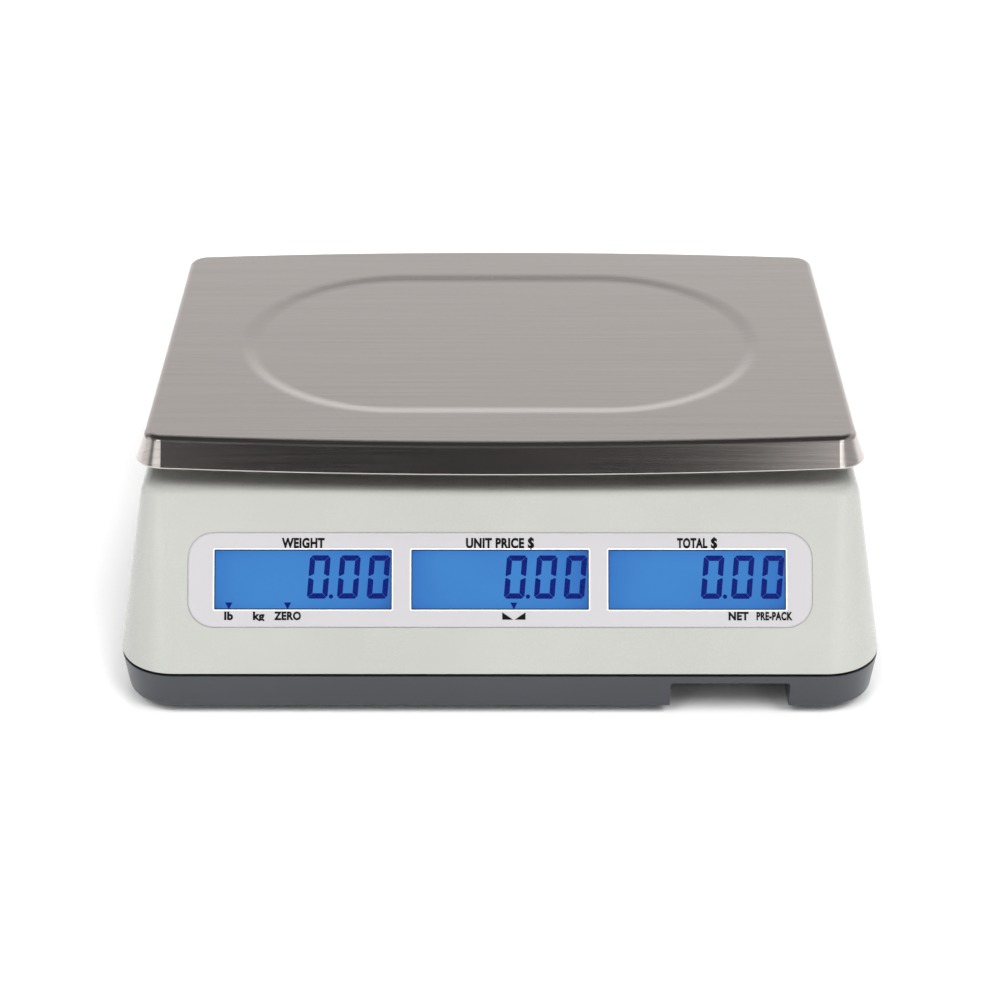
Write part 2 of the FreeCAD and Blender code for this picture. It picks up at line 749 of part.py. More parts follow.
def is_top_edge(edge):
    """Edges round the deck and round the seller's panel."""
    tilt = math.tan(math.radians(DRIVING["panel_tilt"]))
    heights = []
    for step in (0.1, 0.5, 0.9):
        span = edge.LastParameter - edge.FirstParameter
        point = edge.valueAt(edge.FirstParameter + step * span)
        on_deck = abs(point.z - DRIVING["deck_height"]) < 1e-3
        panel_height = DRIVING["deck_height"] - (point.y - DRIVING["deck_rear"]) * tilt
        heights.append(on_deck or abs(point.z - panel_height) < 1e-3)
    return all(heights)


# ---------------------------------------------------------------- displays, in the face's own frame

# the openings in the skin are larger than the overlay's windows
aperture_margin = 3
aperture_width = cell("window_width") + aperture_margin
aperture_height = cell("window_height") + aperture_margin
board_back = -(cell("board_depth") + cell("board_thick"))
overlay_back = -cell("overlay_recess")
CUSTOMER_WINDOW_LOW = cell("window_low")
overlay_middle = cell("overlay_low") + cell("overlay_height") / 2
# middle up the slope, width and height
CUSTOMER_OVERLAY = (overlay_middle, cell("overlay_width"), cell("overlay_height"))
CUSTOMER_BOARD = (size(46.5), 312, 40)
SELLER_WINDOW_LOW = size(-44)
SELLER_OVERLAY = (size(-51.5), size(330), size(86))
SELLER_BOARD = (size(-52), 318, 88)
CUSTOMER_SCREWS = [(-151, 36), (-151, 57), (151, 36), (151, 57)]
SELLER_SCREWS = [(x, y) for x in (-154, 154) for y in (-14, -89)] + [(-26, -51), (4, -91)]
LEVEL = (0, 80)
LEVEL_HOLE_RADIUS = 8.3


def board_stems(side, spots):
    """Stems under the skin that the display board is screwed to."""
    depth = cell("board_depth")
    return [cylinder(f"{side}_stem{i}", x, y, -depth, 3.4, depth - 1) for i, (x, y) in enumerate(spots)]


def stem_holes(side, spots):
    depth = cell("board_depth")
    return [
        cylinder(f"{side}_stem_hole{i}", x, y, -depth, BOARD_SCREW_PILOT, 6.2)
        for i, (x, y) in enumerate(spots)
    ]


def display_tools(side, low):
    """Openings in the skin for the three display modules."""
    middle = low + cell("window_height") / 2
    return [
        box(f"{side}_aperture{i}", x, middle, -8, aperture_width, aperture_height, 16)
        for i, x in enumerate(WINDOWS)
    ]


def overlay_recess(side, middle, width, height):
    play, radius = 0.6, cell("overlay_radius")
    return plate(side + "_recess", 0, middle, overlay_back, width + play, height + play, 6, radius)


def make_display(side, place_on, low, overlay, screws, board):
    """Overlay, three glass panels with their light boxes and the board behind them."""
    middle = low + cell("window_height") / 2
    label = plate(side + "_label", 0, overlay[0], overlay_back, overlay[1], overlay[2],
                  cell("overlay_thick"), cell("overlay_radius"))
    holes = [
        plate(f"{side}_label_hole{i}", x, middle, -2, cell("window_width"), cell("window_height"), 4, 0.4)
        for i, x in enumerate(WINDOWS)
    ]
    if side == "seller":
        holes += key_holes("label")
    skin = cut(side + "_label_cut", label, group(side + "_label_holes", holes))
    part(side + "_overlay", place_on(skin))
    lcd_low = overlay_back - cell("lcd_thick")
    glass_play, light_play = 0.6, 1
    glass = [
        box(f"{side}_lcd{i}", x, middle, lcd_low, aperture_width - glass_play, aperture_height - glass_play,
            cell("lcd_thick")) for i, x in enumerate(WINDOWS)
    ]
    part(side + "_lcd_panels", place_on(group(side + "_glass", glass)))
    lights = [
        box(f"{side}_light{i}", x, middle, -cell("board_depth"), aperture_width - light_play,
            aperture_height - light_play, lcd_low + cell("board_depth")) for i, x in enumerate(WINDOWS)
    ]
    part(side + "_backlights", place_on(group(side + "_lights", lights)))
    board_middle, board_length, board_width = board
    thick = cell("board_thick")
    slab = box(side + "_board_slab", 0, board_middle, board_back, board_length, board_width, thick)
    chips = [
        box(f"{side}_chip{i}", x, board_middle - 6, board_back - 2, 14, 10, 2)
        for i, x in enumerate((-60, 60))
    ]
    chips.append(box(side + "_socket", 0, board_middle, board_back - 7, 30, 6, 7))
    drill = [
        cylinder(f"{side}_board_hole{i}", x, y, board_back, BOARD_SCREW_HOLE, thick)
        for i, (x, y) in enumerate(screws)
    ]
    drilled = cut(side + "_board_cut", fuse(side + "_board_whole", [slab] + chips),
                  group(side + "_board_holes", drill))
    part(side + "_display_board", place_on(drilled))
    set_screws = [
        screw(f"{side}_board_screw{i}", x, y, board_back, *BOARD_SCREW, 7) for i, (x, y) in enumerate(screws)
    ]
    return place_on(group(side + "_board_screws", set_screws))


# ---------------------------------------------------------------- keys

def key_table():
    """Name, place across and up the panel, and width of each key."""
    rows = [cell("key_first_row") - row * cell("key_row_pitch") for row in range(3)]
    table = []
    digits = (("7", "8", "9", "clear"), ("4", "5", "6", "0"), ("1", "2", "3", "point"))
    functions = (("zero", "tare"), ("unit", "store"), ("prepack", "light"))
    for field, first, pitch, width in ((digits, cell("digit_first"), cell("digit_pitch"), cell("key_width")),
                                       (functions, cell("function_first"), cell("function_pitch"),
                                        cell("wide_key_width"))):
        for y, names in zip(rows, field):
            table += [("key_" + name, first + column * pitch, y, width) for column, name in enumerate(names)]
    return table


def key_holes(use):
    """Openings for the caps, a little larger than each cap."""
    gap = 2 * cell("key_gap")
    return [
        plate(f"{use}_{name}_hole", x, y, -8, width + gap, cell("key_height") + gap, 16, 1.5)
        for name, x, y, width in key_table()
    ]


def make_keys():
    """Each key is a cap with a flange under the skin and a plunger over its rubber dome."""
    tall = cell("key_height")
    flange_high = -(wall + 0.05)
    for name, x, y, width in key_table():
        block = plate(name + "_block", x, y, flange_high, width, tall, cell("key_proud") - flange_high, 1.2)
        cap = round_edges(name + "_soft", block, 0.7, is_cap_edge)
        flange = box(name + "_flange", x, y, flange_high - 1.2, width + 3, tall + 2, 1.2)
        plunger = cylinder(name + "_plunger", x, y, flange_high - 2.6, 3, 1.6)
        part(name, on_seller_panel(fuse(name + "_whole", [cap, flange, plunger])))
    sheet_low = -cell("board_depth")
    sheet_thick = 0.8
    middle = cell("key_first_row") - cell("key_row_pitch")
    digits_x = cell("digit_first") + cell("digit_pitch") * 1.5
    functions_x = cell("function_first") + cell("function_pitch") / 2
    mat = [
        box("mat_digits", digits_x, middle, sheet_low, 114, 44, sheet_thick),
        box("mat_functions", functions_x, middle, sheet_low, 86, 44, sheet_thick),
        box("mat_strip", -10, middle, sheet_low, 100, 10, sheet_thick),
    ]
    domes = [
        cylinder(f"{name}_dome", x, y, sheet_low, 4, sheet_thick + 0.2) for name, x, y, _ in key_table()
    ]
    part("keypad_mat", on_seller_panel(fuse("mat", mat + domes)))


def is_cap_edge(edge):
    return lies_at(edge, DRIVING["key_proud"])


# ---------------------------------------------------------------- lower housing

def make_lower_housing(fixings):
    low_half_x = half_width - cell("base_inset")
    low_half_y = half_depth - cell("base_inset")
    radius = cell("corner_radius")
    rise = floor_top - base_low
    draft = cell("base_inset") / (base_high - base_low)
    low_radius = radius - cell("base_inset")
    block = loft("tray_block", [
        rounded_outline("tray_low", base_low, low_half_x, -low_half_y, low_half_y, low_radius),
        rounded_outline("tray_high", base_high, half_width, -half_depth, half_depth, radius),
    ])
    soft = round_edges("tray_soft", block, 1.2, lambda edge: lies_at(edge, base_low.number))
    soft = round_edges("tray_seam", soft, cell("lower_seam_rounding"),
                       lambda edge: lies_at(edge, base_high.number))
    inset = wall + cell("base_inset") - rise * draft
    well = loft("well", [
        rounded_outline("well_low", floor_top, half_width - inset, inset - half_depth, half_depth - inset,
                        radius - inset),
        rounded_outline("well_high", base_high, half_width - wall, wall - half_depth, half_depth - wall,
                        radius - wall),
    ])
    tray = cut("tray", soft, well)

    ledge = ring_of("ledge", base_high - 2, 2, size(2.5), size(7.5))
    tongue = ring_of("tongue", base_high - 0.5, 3, size(5.2), size(6.9))
    solids = [tray, ledge, tongue,
              box("load_pad", 0, platter_y, base_low, 216, 148, wall + 3)]
    holes = []

    # sockets for the feet
    socket_high = base_low + cell("foot_socket_depth")
    for name, (sx, sy) in CORNERS.items():
        x, y = sx * cell("foot_x"), sy * cell("foot_y")
        rim = cell("foot_socket_radius")
        solids.append(cylinder(name + "_socket", x, y, base_low, rim + 2.5, socket_high + 3 - base_low))
        solids.append(cylinder(name + "_neck", x, y, base_low, 9, base_high + 1.5 - base_low))
        holes.append(cylinder(name + "_recess", x, y, base_low - 1, rim, socket_high + 1 - base_low))
        holes.append(cylinder(name + "_stud_way", x, y, base_low, 4.6, THROUGH))
        holes.append(cylinder(name + "_insert_way", x, y, socket_high + 3, INSERT_RADIUS, THROUGH))

    # posts for the housing screws
    for i, (x, y) in enumerate(BOSSES):
        solids.append(cylinder(f"lower_boss{i}", x, y, base_low, 6.5, base_high + BOSS_JOINT - base_low))
        holes.append(cylinder(f"screw_sink{i}", x, y, base_low - 1, 4.2, SCREW_SINK + 1))
        holes.append(cylinder(f"screw_way{i}", x, y, base_low, 2.2, THROUGH))

    # recess for the power lead at the customer's edge
    notch_x, notch_w = cell("notch_centre"), cell("notch_width")
    front = -half_depth
    length = cell("notch_length")
    ceiling = base_low + cell("notch_height")
    solids.append(box("lead_box", notch_x, front + 3 + (length - 0.5) / 2, base_low, notch_w + 5,
                      length - 0.5, cell("notch_height") + 2.5))
    recess = box("lead_space_block", notch_x, front - 10 + (length + 10) / 2, base_low - 5, notch_w,
                 length + 10, ceiling - base_low + 5)
    holes.append(round_edges("lead_space", recess, 2.0, is_notch_edge))
    inlet_z = base_low + INLET_RISE
    holes.append(crosswise("inlet_hole", notch_x, front + length - 1, inlet_z, INLET_RADIUS + fit, 8))

    # battery bay over its opening in the floor
    bx, by = BATTERY
    bay_x, bay_y = 102, 72
    solids.append(box("bay_walls", bx, by, base_low, bay_x + 5, bay_y + 5, 24))
    holes.append(box("bay_space", bx, by, base_low - 1, bay_x, bay_y, THROUGH))
    holes.append(box("bay_rebate", bx, by, base_low - 1, DOOR_LENGTH + 0.6, DOOR_WIDTH + 0.6, 2.5))
    for i, side in enumerate((-1, 1)):
        solids.append(cylinder(f"bay_boss{i}", bx + side * DOOR_SCREW_X, by, base_low, 4.5, 12))
        holes.append(cylinder(f"bay_pilot{i}", bx + side * DOOR_SCREW_X, by, base_low, 1.3, 10))

    # pocket for the power switch
    sx, sy = SWITCH
    pocket_x, pocket_y = 28, 34
    solids.append(box("switch_box", sx, sy, base_low, pocket_x + 5, pocket_y + 5, SWITCH_SEAT + 2.5))
    holes.append(box("switch_space", sx, sy, base_low - 1, pocket_x, pocket_y, SWITCH_SEAT + 1))
    holes.append(box("switch_way", sx, sy, base_low, SWITCH_X + 0.2, SWITCH_Y + 0.2, THROUGH))

    # board stands and chassis fixings
    for i, (x, y) in enumerate(MAIN_SCREWS):
        solids.append(cylinder(f"stand{i}", x, y, base_low, 3.2, MAIN_BOARD_LOW - base_low))
        holes.append(cylinder(f"stand_hole{i}", x, y, MAIN_BOARD_LOW - 8, BOARD_SCREW_PILOT, 9))
    for i, (x, y) in enumerate(fixings):
        holes.append(cylinder(f"floor_sink{i}", x, y, base_low - 1, 4, 4.5))
        holes.append(cylinder(f"floor_way{i}", x, y, base_low, 2.1, 10))
    whole = fuse("tray_whole", solids)
    return part("lower_housing", cut("tray_cut", whole, fuse("tray_tools", holes)))


def is_notch_edge(edge):
    """The two edges that run inwards along the top of the lead recess."""
    ceiling = DRIVING["foot_gap"] + DRIVING["notch_height"]
    return lies_at(edge, ceiling) and abs(edge.Vertexes[0].Y - edge.Vertexes[-1].Y) > 1


def ring_of(name, low, height, outer, inner):
    """Upright ring that follows the housing's outline, between two insets from it."""
    pair = []
    for which, inset in (("outer", outer), ("inner", inner)):
        outline = rounded_outline(f"{name}_{which}", low, half_width - inset, inset - half_depth,
                                  half_depth - inset, cell("corner_radius") - inset)
        solid = doc.addObject("Part::Extrusion", f"{name}_{which}_block")
        solid.Base = outline
        solid.DirMode = "Normal"
        solid.Solid = True
        bind(solid, LengthFwd=height)
        pair.append(solid)
    return cut(name, *pair)


# ---------------------------------------------------------------- pieces fixed to the lower housing

BATTERY = (70, 95)
SWITCH = (-150, 76)
# height of the switch's seat over the floor's underside, and the width and depth of its shaft
SWITCH_SEAT = 7.5
SWITCH_X, SWITCH_Y = 13, 19
ROCKER_LEAN = 10
INLET_RISE = 8.4
INLET_RADIUS = 5
DOOR_LENGTH, DOOR_WIDTH = 131, 76
DOOR_SCREW_X = 58
INSERT_RADIUS = 6
SCREW_SINK = 16
MAIN_BOARD_LOW = size(20)
MAIN_BOARD = (-136, -5)
MAIN_SCREWS = [(MAIN_BOARD[0] + dx, MAIN_BOARD[1] + dy) for dx in (-22, 22) for dy in (-55, 55)]


def make_foot(name, sx, sy):
    """Rubber pad that stays on the counter, and the knurled screw that turns on it."""
    x, y = sx * cell("foot_x"), sy * cell("foot_y")
    thick = cell("foot_pad_thick")
    disc_radius = cell("foot_disc_radius")
    disc_high = base_low + cell("foot_socket_depth")
    spigot_low = thick - 2.5
    pad = cylinder(name + "_pad_disc", x, y, 0, disc_radius - 2, thick)
    soft = round_edges(name + "_pad_soft", pad, 0.8, lambda edge: lies_at(edge, 0))
    spigot = 5
    bore = cylinder(name + "_pad_bore", x, y, spigot_low, spigot + fit, thick)
    part("foot_pad_" + name, cut(name + "_pad_cut", soft, bore))

    body = doc.addObject("PartDesign::Body", name + "_screw")
    drawn = body.newObject("Sketcher::SketchObject", name + "_profile")
    side = [plane for plane in body.Origin.OriginFeatures if plane.Role == "XZ_Plane"][0]
    drawn.AttachmentSupport = [(side, "")]
    drawn.MapMode = "FlatFace"
    stud, tip = cell("stud_radius"), thick + cell("stud_length")
    steps = [(size(0), spigot_low), (size(spigot), spigot_low), (size(spigot), thick), (disc_radius, thick),
             (disc_radius, disc_high), (stud, disc_high), (stud, tip), (size(0), tip)]
    points = [(a.number, b.number) for a, b in steps]
    drawn.addGeometry([line(*points[i], *points[(i + 1) % 8]) for i in range(8)], False)
    for i in range(8):
        constrain(drawn, "Coincident", i, END, (i + 1) % 8, START)
        constrain(drawn, "Vertical" if i % 2 else "Horizontal", i)
    constrain(drawn, "PointOnObject", 0, START, Y_AXIS)
    for i in (1, 3, 5):
        constrain(drawn, "DistanceX", *ORIGIN, i, START, value=steps[i][0])
    for i in (0, 2, 4, 6):
        constrain(drawn, "DistanceY", *ORIGIN, i, START, value=steps[i][1])
    turned = body.newObject("PartDesign::Revolution", name + "_turned")
    turned.Profile = drawn
    turned.ReferenceAxis = (drawn, ["V_Axis"])
    turned.Angle = 360
    grip = start_sketch(body, name + "_grip", thick)
    groove_at, groove_radius = disc_radius + 1, 1.8
    grip.addGeometry(Part.Circle(Vector(groove_at.number, 0, 0), Vector(0, 0, 1), groove_radius), False)
    constrain(grip, "Radius", 0, value=groove_radius)
    constrain(grip, "PointOnObject", 0, CENTRE, X_AXIS)
    constrain(grip, "DistanceX", *ORIGIN, 0, CENTRE, value=groove_at)
    scallop = body.newObject("PartDesign::Pocket", name + "_scallop")
    scallop.Profile = grip
    scallop.Reversed = True
    bind(scallop, Length=disc_high - thick)
    ring = body.newObject("PartDesign::PolarPattern", name + "_knurl")
    ring.Originals = [scallop]
    ring.Axis = (grip, ["N_Axis"])
    ring.Angle = 360
    ring.Occurrences = 16
    body.Tip = ring
    part("foot_screw_" + name, place(body, x, y, 0))
    return x, y


def make_feet():
    inserts = []
    low = base_low + cell("foot_socket_depth") + 3
    for name, (sx, sy) in CORNERS.items():
        x, y = make_foot(name, sx, sy)
        sleeve = cylinder(name + "_sleeve", x, y, low, INSERT_RADIUS - fit, base_high + 1 - low)
        bore = cylinder(name + "_sleeve_bore", x, y, low, cell("stud_radius") + fit, THROUGH)
        inserts.append(cut(name + "_insert", sleeve, bore))
    part("foot_thread_inserts", group("inserts", inserts))


def make_power_parts():
    # 6 V block battery, its tabs at one end
    x, y = BATTERY
    door_thick = 1.5
    rest = base_low + 2 * door_thick
    block_height, lid_height = 47, 2.5
    case = plate("battery_case", x, y, rest, 101, 70, block_height, 2)
    lid = plate("battery_lid", x, y, rest + block_height, 97, 66, lid_height, 2)
    tab_low = rest + block_height + lid_height
    tabs = [
        box(f"battery_tab{i}", x + 40, y + side * 18, tab_low, 6.3, 0.8, 6) for i, side in enumerate((-1, 1))
    ]
    part("battery", fuse("battery_whole", [case, lid] + tabs))

    flange = plate("door_flange", x, y, base_low, DOOR_LENGTH, DOOR_WIDTH, door_thick, 3)
    block = plate("door_block", x, y, base_low + door_thick, 101.4, 71.4, door_thick, 2)
    fixings = [x - DOOR_SCREW_X, x + DOOR_SCREW_X]
    holes = [cylinder(f"door_hole{i}", at, y, base_low, 1.7, door_thick) for i, at in enumerate(fixings)]
    grooves = [box(f"door_grip{i}", x - 30 + 5 * i, y, base_low, 2, 40, 0.6) for i in range(5)]
    whole = fuse("door_whole", [flange, block])
    part("battery_cover", cut("door", whole, fuse("door_cuts", holes + grooves)))
    pair = [screw(f"door_screw{i}", at, y, base_low, *DOOR_SCREW, 9) for i, at in enumerate(fixings)]
    part("battery_cover_screws", group("door_screws", pair))

    # rocker switch hanging in its pocket, with the rocker tipped to one side
    sx, sy = SWITCH
    seat = base_low + SWITCH_SEAT
    shaft_length, axle_radius = 16, 1.5
    bezel = plate("switch_bezel", sx, sy, seat - 2, SWITCH_X + 4, SWITCH_Y + 4, 2, 1.5)
    shaft = box("switch_shaft", sx, sy, seat, SWITCH_X, SWITCH_Y, shaft_length)
    hollow = box("switch_hollow", sx, sy, seat - 3, SWITCH_X - 2.4, SWITCH_Y - 2.4, 11)
    axle_z = seat + 2
    axle_way = sideways("axle_way", sx, sy, axle_z, axle_radius + fit, SWITCH_X - 0.2)
    pins = [box(f"switch_pin{i}", sx, sy - 5 + 10 * i, seat + shaft_length, 4.8, 0.8, 7) for i in range(2)]
    part("power_switch_housing", cut("switch_case", fuse("switch_whole", [bezel, shaft] + pins),
                                     fuse("switch_cuts", [hollow, axle_way])))
    half_length, face_depth, waist, back = 7.3, 4.2, 2.6, 1.2
    corners = [(-half_length, -face_depth), (0, -waist), (half_length, -face_depth),
               (half_length - 1, back), (1 - half_length, back)]
    drawn = doc.addObject("Sketcher::SketchObject", "rocker_profile")
    drawn.addGeometry([line(*corners[i], *corners[(i + 1) % 5]) for i in range(5)], False)
    for i in range(5):
        constrain(drawn, "Coincident", i, END, (i + 1) % 5, START)
    wedge = doc.addObject("Part::Extrusion", "rocker_wedge")
    wedge.Base = drawn
    wedge.DirMode = "Normal"
    wedge.Solid = True
    wedge.Symmetric = True
    wedge.LengthFwd = 10
    axle = cylinder("rocker_axle", 0, 0, -6.2, axle_radius, 12.4)
    rocker = fuse("rocker", [wedge, axle])
    tipped = Rotation(Vector(1, 0, 0), ROCKER_LEAN) * Rotation(Vector(1, 1, 1), 120)
    rocker.Placement.Rotation = tipped
    part("power_switch_rocker", place(rocker, sx, sy, axle_z))

    # low-voltage inlet at the back of the lead recess
    x = cell("notch_centre")
    y = cell("notch_length") - half_depth
    z = base_low + INLET_RISE
    barrel = crosswise("inlet_barrel", x, y, z, INLET_RADIUS, 3)
    case = box("inlet_case", x, y + 3 + 5.5, base_low + wall, 14, 11, 11)
    bore = crosswise("inlet_bore", x, y - 1, z, 3.2, 11)
    pin = crosswise("inlet_pin", x, y + 1, z, 1.0, 10)
    part("power_inlet", fuse("inlet", [cut("inlet_shell", fuse("inlet_whole", [barrel, case]), bore), pin]))


def make_main_board():
    x, y = MAIN_BOARD
    thick = cell("board_thick")
    top = MAIN_BOARD_LOW + thick
    slab = box("main_slab", x, y, MAIN_BOARD_LOW, 54, 120, thick)
    raised = [
        box("processor", x + 4, y + 4, top, 16, 16, 1.6), box("converter", x - 8, y - 30, top, 10, 6, 2),
        box("regulator", x + 12, y + 42, top, 10, 9, 4.5), box("socket_cell", x - 20, y - 26, top, 6, 14, 7),
        box("socket_front", x + 18, y - 32, top, 7, 30, 7), box("socket_rear", x + 18, y + 18, top, 7, 22, 7),
        cylinder("reservoir0", x - 12, y + 40, top, 5, 12),
        cylinder("reservoir1", x - 12, y + 26, top, 4, 10),
        cylinder("buzzer", x - 14, y + 6, top, 6, 6),
    ]
    drill = [
        cylinder(f"main_hole{i}", *spot, MAIN_BOARD_LOW, BOARD_SCREW_HOLE, thick)
        for i, spot in enumerate(MAIN_SCREWS)
    ]
    part("main_board", cut("main_cut", fuse("main_whole", [slab] + raised), group("main_drill", drill)))
    return [screw(f"main_screw{i}", *spot, top, *BOARD_SCREW, 7.5, up=False)
            for i, spot in enumerate(MAIN_SCREWS)]


def make_level():
    """Round bubble level let into the deck under the platter."""
    x, y = LEVEL
    rim_height, vial_radius, vial_depth = 1.6, 7, 8
    rim_high = deck + rim_height
    rim = cylinder("level_rim", x, y, deck, 11, rim_height)
    tube = cylinder("level_tube", x, y, deck - vial_depth - 1, LEVEL_HOLE_RADIUS - fit, vial_depth + 1.5)
    well = cylinder("level_well", x, y, deck - vial_depth, vial_radius, THROUGH)
    soft = round_edges("level_soft", rim, 0.6, lambda edge: lies_at(edge, rim_high.number))
    part("level_bezel", cut("level_cut", fuse("level_whole", [soft, tube]), well))
    part("level_vial", cylinder("vial", x, y, deck - vial_depth, vial_radius - fit, vial_depth + 1.2))


def make_housing_screws():
    seat = base_low + SCREW_SINK
    screws = [screw(f"housing_screw{i}", x, y, seat, *HOUSING_SCREW, 26) for i, (x, y) in enumerate(BOSSES)]
    part("housing_screws", group("screws", screws))


# ---------------------------------------------------------------- build, check and write

make_platter()
make_lower_housing(make_load_path())
make_upper_housing()
make_feet()
make_power_parts()
board_screws = make_main_board()
make_level()
make_housing_screws()
board_screws.append(make_display("customer", on_customer_face, CUSTOMER_WINDOW_LOW, CUSTOMER_OVERLAY,
                                 CUSTOMER_SCREWS, CUSTOMER_BOARD))
board_screws.append(make_display("seller", on_seller_panel, SELLER_WINDOW_LOW, SELLER_OVERLAY,
                                 SELLER_SCREWS, SELLER_BOARD))
make_keys()
part("board_screws", group("all_board_screws", board_screws))
doc.recompute()

failed = [made.Name for made in doc.Objects if {"Invalid", "Error"} & set(made.State)]
if failed:
    raise RuntimeError("objects that did not build: " + ", ".join(failed))
for node, made in PARTS:
    if made.Shape.isNull() or not made.Shape.isValid() or not made.Shape.Solids:
        raise RuntimeError("no valid solid in " + node)
for node, made in PARTS:
    made.Shape.exportStep(f"parts/{node}.step")
    bounds = made.Shape.BoundBox
    print(f"{node:28s} solids {len(made.Shape.Solids):3d}  volume {made.Shape.Volume / 1000:9.2f} cm3  "
          f"x {bounds.XMin:7.1f} {bounds.XMax:7.1f}  y {bounds.YMin:7.1f} {bounds.YMax:7.1f}  "
          f"z {bounds.ZMin:6.1f} {bounds.ZMax:6.1f}")
print(len(PARTS), "nodes")
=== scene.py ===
import json
import math

import bmesh
import bpy
from mathutils import Euler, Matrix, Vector


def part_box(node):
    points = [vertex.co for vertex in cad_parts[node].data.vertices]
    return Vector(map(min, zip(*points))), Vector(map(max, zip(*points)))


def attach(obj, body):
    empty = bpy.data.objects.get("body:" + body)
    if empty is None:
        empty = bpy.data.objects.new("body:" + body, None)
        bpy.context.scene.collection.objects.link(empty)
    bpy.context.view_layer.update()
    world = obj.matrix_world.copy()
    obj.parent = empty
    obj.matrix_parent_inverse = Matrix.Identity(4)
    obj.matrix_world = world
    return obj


# Retail price scale. Metres, in the CAD frame: +X right of the customer, -Y customer, +Z up.

MM = 0.001
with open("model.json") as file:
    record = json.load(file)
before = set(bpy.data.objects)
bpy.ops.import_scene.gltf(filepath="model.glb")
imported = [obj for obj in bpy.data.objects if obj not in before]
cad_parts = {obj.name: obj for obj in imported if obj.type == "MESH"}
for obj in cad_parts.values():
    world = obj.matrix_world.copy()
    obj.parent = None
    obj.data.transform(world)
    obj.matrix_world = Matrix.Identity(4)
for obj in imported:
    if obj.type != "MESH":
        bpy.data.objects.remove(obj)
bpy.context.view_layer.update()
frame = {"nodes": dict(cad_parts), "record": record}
nodes = frame["nodes"]
scene = bpy.context.scene


# ---------------------------------------------------------------- node materials

def rgb(red, green, blue):
    """Linear colour from 8-bit display values."""
    def linear(value):
        value /= 255
        return value / 12.92 if value <= 0.04045 else ((value + 0.055) / 1.055) ** 2.4
    return (linear(red), linear(green), linear(blue), 1.0)


def shade(colour, factor):
    """The colour made darker or lighter, fully opaque."""
    return tuple(channel * factor for channel in colour[:3]) + (1.0,)


class Graph:
    """A node tree with short calls for the nodes used here."""

    def __init__(self, tree, place):
        self.tree = tree
        self.place = self.add("ShaderNodeTexCoord").outputs[place]

    def add(self, kind):
        return self.tree.nodes.new(kind)

    def feed(self, socket, value):
        if isinstance(value, bpy.types.NodeSocket):
            self.tree.links.new(value, socket)
        else:
            socket.default_value = value

    def math(self, operation, one, other=0.0):
        node = self.add("ShaderNodeMath")
        node.operation = operation
        for socket, value in zip(node.inputs, (one, other)):
            self.feed(socket, value)
        return node.outputs[0]

    def split(self, vector):
        node = self.add("ShaderNodeSeparateXYZ")
        self.feed(node.inputs[0], vector)
        return node.outputs

    def join(self, x, y, z):
        node = self.add("ShaderNodeCombineXYZ")
        for socket, value in zip(node.inputs, (x, y, z)):
            self.feed(socket, value)
        return node.outputs[0]

    def along(self, direction):
        """Distance along a direction, from the frame's origin."""
        node = self.add("ShaderNodeVectorMath")
        node.operation = "DOT_PRODUCT"
        self.feed(node.inputs[0], self.place)
        self.feed(node.inputs[1], tuple(direction))
        return node.outputs["Value"]

    def noise(self, scale, detail=3.0, rough=0.55, vector=None, stretch=None):
        if stretch is not None:
            mapping = self.add("ShaderNodeMapping")
            self.feed(mapping.inputs["Vector"], self.place if vector is None else vector)
            self.feed(mapping.inputs["Scale"], stretch)
            vector = mapping.outputs[0]
        node = self.add("ShaderNodeTexNoise")
        self.feed(node.inputs["Vector"], self.place if vector is None else vector)
        self.feed(node.inputs["Scale"], scale)
        self.feed(node.inputs["Detail"], detail)
        self.feed(node.inputs["Roughness"], rough)
        return node.outputs["Fac"]

    def ramp(self, factor, *stops):
        """Colour ramp; each stop is (position, colour)."""
        node = self.add("ShaderNodeValToRGB")
        elements = node.color_ramp.elements
        while len(elements) < len(stops):
            elements.new(0.5)
        for element, (position, colour) in zip(elements, stops):
            element.position = position
            element.color = colour
        self.feed(node.inputs[0], factor)
        return node.outputs["Color"]

    def spread(self, factor, low, high, start=0.3, end=0.7):
        """The factor's range from start to end mapped to low .. high."""
        node = self.add("ShaderNodeMapRange")
        for socket, value in zip(node.inputs, (factor, start, end, low, high)):
            self.feed(socket, value)
        return node.outputs[0]

    def mix(self, factor, one, other):
        node = self.add("ShaderNodeMix")
        node.data_type = "RGBA"
        self.feed(node.inputs["Factor"], factor)
        self.feed(node.inputs[6], one)
        self.feed(node.inputs[7], other)
        return node.outputs[2]

    def bump(self, height, distance, strength=1.0, under=None):
        node = self.add("ShaderNodeBump")
        self.feed(node.inputs["Height"], height)
        self.feed(node.inputs["Distance"], distance)
        self.feed(node.inputs["Strength"], strength)
        if under is not None:
            self.feed(node.inputs["Normal"], under)
        return node.outputs[0]


class Paint(Graph):
    """A node material with one Principled shader."""

    def __init__(self, name, **sockets):
        self.material = bpy.data.materials.new(name)
        self.material.use_nodes = True
        super().__init__(self.material.node_tree, "Object")
        self.shader = self.tree.nodes["Principled BSDF"]
        self.normal = self.add("ShaderNodeNewGeometry").outputs["Normal"]
        self.set(**sockets)

    def set(self, **sockets):
        for socket, value in sockets.items():
            self.feed(self.shader.inputs[socket.replace("_", " ")], value)
        return self.material


